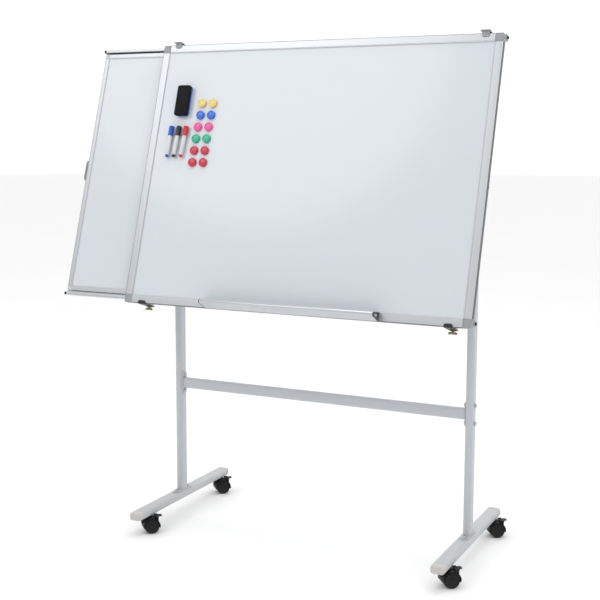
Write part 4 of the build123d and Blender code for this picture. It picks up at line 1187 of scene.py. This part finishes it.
# ---------------------------------------------------------------- casters
class WHITEBOARD_OT_casters(bpy.types.Operator):
    """Hoods, wheels and brake levers of the four casters"""

    bl_idname = "whiteboard.casters"
    bl_label = "Casters"

    def execute(self, context):
        for corner in CASTERS:
            self.wheels(corner)
            softened(f"caster_{corner}_housing", f"caster_{corner}_hood", [finish("black")], 0.8 * MM)
            softened(f"caster_{corner}_brake", f"caster_{corner}_lever", [finish("black")], 0.6 * MM)
        return {"FINISHED"}

    def wheels(self, corner):
        """Twin wheels: a crowned tread with two lines, and a dished outer face with a raised hub."""
        joint = JOINTS[f"caster_{corner}_roll"]
        axle = np.array(joint["axis"], float)
        centre = np.array(joint["pos_m"], float)
        points = points_of(f"caster_{corner}_wheels") - centre
        out = np.abs(points @ axle).max() / MM
        radius = np.abs(points[:, 2]).max() / MM
        width = 16.0
        inside = out - width
        shape = Shape()
        for sign in (-1, 1):
            t = np.linspace(0, np.pi / 2, 5)
            outer_round = [(out - 3 * (1 - math.sin(a)), radius - 3 * (1 - math.cos(a))) for a in t]
            inner_round = [(inside + 3 * (1 - math.cos(a)), radius - 3 * (1 - math.sin(a))) for a in t]
            tread = [(inside + 5.0, radius), (inside + 5.3, radius - 0.4), (inside + 5.9, radius - 0.4),
                     (inside + 6.2, radius), (out - 6.2, radius), (out - 5.9, radius - 0.4),
                     (out - 5.3, radius - 0.4), (out - 5.0, radius)]
            face = [(out - 0.1, radius * 0.86), (out - 0.5, radius * 0.80), (out - 1.8, radius * 0.74),
                    (out - 2.0, radius * 0.60), (out - 2.0, radius * 0.40), (out - 1.6, radius * 0.33),
                    (out - 0.6, radius * 0.30), (out - 0.5, radius * 0.2), (out - 1.1, radius * 0.16),
                    (out - 1.1, 0)]
            profile = [(inside, 0), (inside, radius * 0.9)] + inner_round + tread + outer_round + face
            rows = [(a * MM, r * MM) for a, r in profile]
            shape.add(turned(rows, centre, sign * axle, 56))
        shape.add(turned([(-inside * MM, 0), (-inside * MM, 3 * MM),
                          (inside * MM, 3 * MM), (inside * MM, 0)],
                         centre, axle, 20), 1)
        shape.piece(f"caster_{corner}_wheel_pair", f"caster_{corner}_wheels",
                    (f"caster_{corner}_wheels",), "wheel_plastic", [finish("wheel"), finish("zinc")])


# ---------------------------------------------------------------- CAD nodes that stay
KEPT = {
    "enamel": ("writing_sheet", "side_panel_sheet"),
    "core": ("board_core", "side_panel_core"),
    "galvanised": ("backing_sheet",),
    "zinc": ("stand_bolts", "stand_nuts", "caster_stems", "pivot_bolts"),
    "black": ("caster_sockets",),
}


class WHITEBOARD_OT_kept_nodes(bpy.types.Operator):
    """Finishes on the sheets, cores and fasteners that keep their CAD shape"""

    bl_idname = "whiteboard.kept_nodes"
    bl_label = "Sheets and fasteners"

    def execute(self, context):
        for name, nodes in KEPT.items():
            for node in nodes:
                mesh = frame["nodes"][node].data
                mesh.materials.clear()
                mesh.materials.append(finish(name))
        return {"FINISHED"}


# ---------------------------------------------------------------- stage
class WHITEBOARD_OT_stage(bpy.types.Operator):
    """Pale floor, soft light and the camera"""

    bl_idname = "whiteboard.stage"
    bl_label = "Stage"

    def execute(self, context):
        self.floor()
        self.light()
        self.camera(context.scene)
        return {"FINISHED"}

    def floor(self):
        """A wide disc: points at radius r and angle a, with r growing towards the rim."""
        r = np.array([0.0, 1.5, 4.0, 10.0, 40.0])
        angle = np.linspace(0, 2 * np.pi, 64, endpoint=False)
        rings = np.stack([r[:, None] * np.cos(angle), r[:, None] * np.sin(angle),
                          np.zeros((len(r), 64))], axis=-1)
        mesh = bpy.data.meshes.new("floor")
        mesh.from_pydata(rings.reshape(-1, 3).tolist(), [], faces_of(rings.shape[:2])[:-2])
        tidy_mesh(mesh)
        if mesh.polygons[0].normal.z < 0:
            mesh.flip_normals()
        mesh.materials.append(floor_finish("studio_floor", (0.95, 0.95, 0.95)))
        disc = bpy.data.objects.new("floor", mesh)
        bpy.context.scene.collection.objects.link(disc)

    def light(self):
        """A white room that is brighter behind and overhead than in front, and three soft lamps."""
        world = bpy.data.worlds.new("soft room")
        world.use_nodes = True
        tree = world.node_tree
        sky = tree.nodes["Background"]
        places = tree.nodes.new("ShaderNodeTexCoord")
        parts = tree.nodes.new("ShaderNodeSeparateXYZ")
        tree.links.new(places.outputs["Generated"], parts.inputs[0])
        behind = tree.nodes.new("ShaderNodeMapRange")
        above = tree.nodes.new("ShaderNodeMapRange")
        for ramp, axis, span, values in ((behind, "Y", (-0.15, 0.45), ROOM_BEHIND),
                                         (above, "Z", (-0.1, 0.9), ROOM_ABOVE)):
            ramp.interpolation_type = "SMOOTHSTEP"
            tree.links.new(parts.outputs[axis], ramp.inputs["Value"])
            ramp.inputs["From Min"].default_value, ramp.inputs["From Max"].default_value = span
            ramp.inputs["To Min"].default_value, ramp.inputs["To Max"].default_value = values
        brighter = tree.nodes.new("ShaderNodeMath")
        brighter.operation = "MAXIMUM"
        tree.links.new(behind.outputs[0], brighter.inputs[0])
        tree.links.new(above.outputs[0], brighter.inputs[1])
        tree.links.new(brighter.outputs[0], sky.inputs["Strength"])
        sky.inputs["Color"].default_value = (1.0, 1.0, 1.0, 1)
        bpy.context.scene.world = world
        for name, place, size, power in (
                ("key", (-2.6, -3.4, 4.6), 3.0, 38.0),
                ("top", (0.4, 0.3, 5.2), 3.2, 60.0),
                ("fill", (3.6, -2.2, 2.6), 2.2, 4.0)):
            lamp = bpy.data.lights.new(name, "AREA")
            lamp.shape = "DISK"
            lamp.size = size
            lamp.energy = power
            thing = bpy.data.objects.new(name, lamp)
            thing.location = place
            aim = Vector((0.0, 0.0, 1.0)) - Vector(place)
            thing.rotation_euler = aim.to_track_quat("-Z", "Y").to_euler()
            bpy.context.scene.collection.objects.link(thing)

    def camera(self, scene):
        """A long lens from the front right, a little above the middle of the board."""
        azimuth, pitch, roll = (math.radians(angle) for angle in (26.0, 7.406, 0.143))
        ahead = Vector((-math.sin(azimuth) * math.cos(pitch), math.cos(azimuth) * math.cos(pitch),
                        -math.sin(pitch)))
        lens = bpy.data.cameras.new("camera")
        lens.sensor_width = 36.0
        lens.lens = 67.737
        lens.shift_x = 0.0072
        lens.shift_y = -0.0237
        eye = bpy.data.objects.new("camera", lens)
        eye.location = (1.5502, -3.3425, 1.3271)
        turn = ahead.to_track_quat("-Z", "Y").to_matrix()
        eye.rotation_euler = turn.to_euler()
        eye.rotation_euler.rotate_axis("Z", roll)
        scene.collection.objects.link(eye)
        scene.camera = eye
        scene.view_settings.view_transform = "Standard"


# ---------------------------------------------------------------- sidebar and registration
STEPS = (WHITEBOARD_OT_stage, WHITEBOARD_OT_kept_nodes, WHITEBOARD_OT_board_frame,
         WHITEBOARD_OT_side_panel, WHITEBOARD_OT_back, WHITEBOARD_OT_hooks, WHITEBOARD_OT_tray,
         WHITEBOARD_OT_loose_pieces, WHITEBOARD_OT_stand, WHITEBOARD_OT_casters)


class WHITEBOARD_PT_panel(bpy.types.Panel):
    """Sizes, colours and build steps of the whiteboard"""

    bl_idname = "WHITEBOARD_PT_panel"
    bl_label = "Rolling whiteboard"
    bl_space_type = "VIEW_3D"
    bl_region_type = "UI"
    bl_category = "Whiteboard"

    def draw(self, context):
        for group in (context.scene.whiteboard_sizes, context.scene.whiteboard_colours):
            for name in group.__annotations__:
                self.layout.prop(group, name)
        for step in STEPS:
            self.layout.operator(step.bl_idname)


CLASSES = (WhiteboardColours, WhiteboardSizes, *STEPS, WHITEBOARD_PT_panel)


def register():
    for cls in CLASSES:
        bpy.utils.register_class(cls)
    bpy.types.Scene.whiteboard_colours = PointerProperty(type=WhiteboardColours)
    bpy.types.Scene.whiteboard_sizes = PointerProperty(type=WhiteboardSizes)


def unregister():
    del bpy.types.Scene.whiteboard_sizes
    del bpy.types.Scene.whiteboard_colours
    for cls in reversed(CLASSES):
        bpy.utils.unregister_class(cls)


def main():
    """Build everything in order."""
    register()
    for step in STEPS:
        area, name = step.bl_idname.split(".")
        getattr(getattr(bpy.ops, area), name)()


if __name__ == "__main__":
    main()
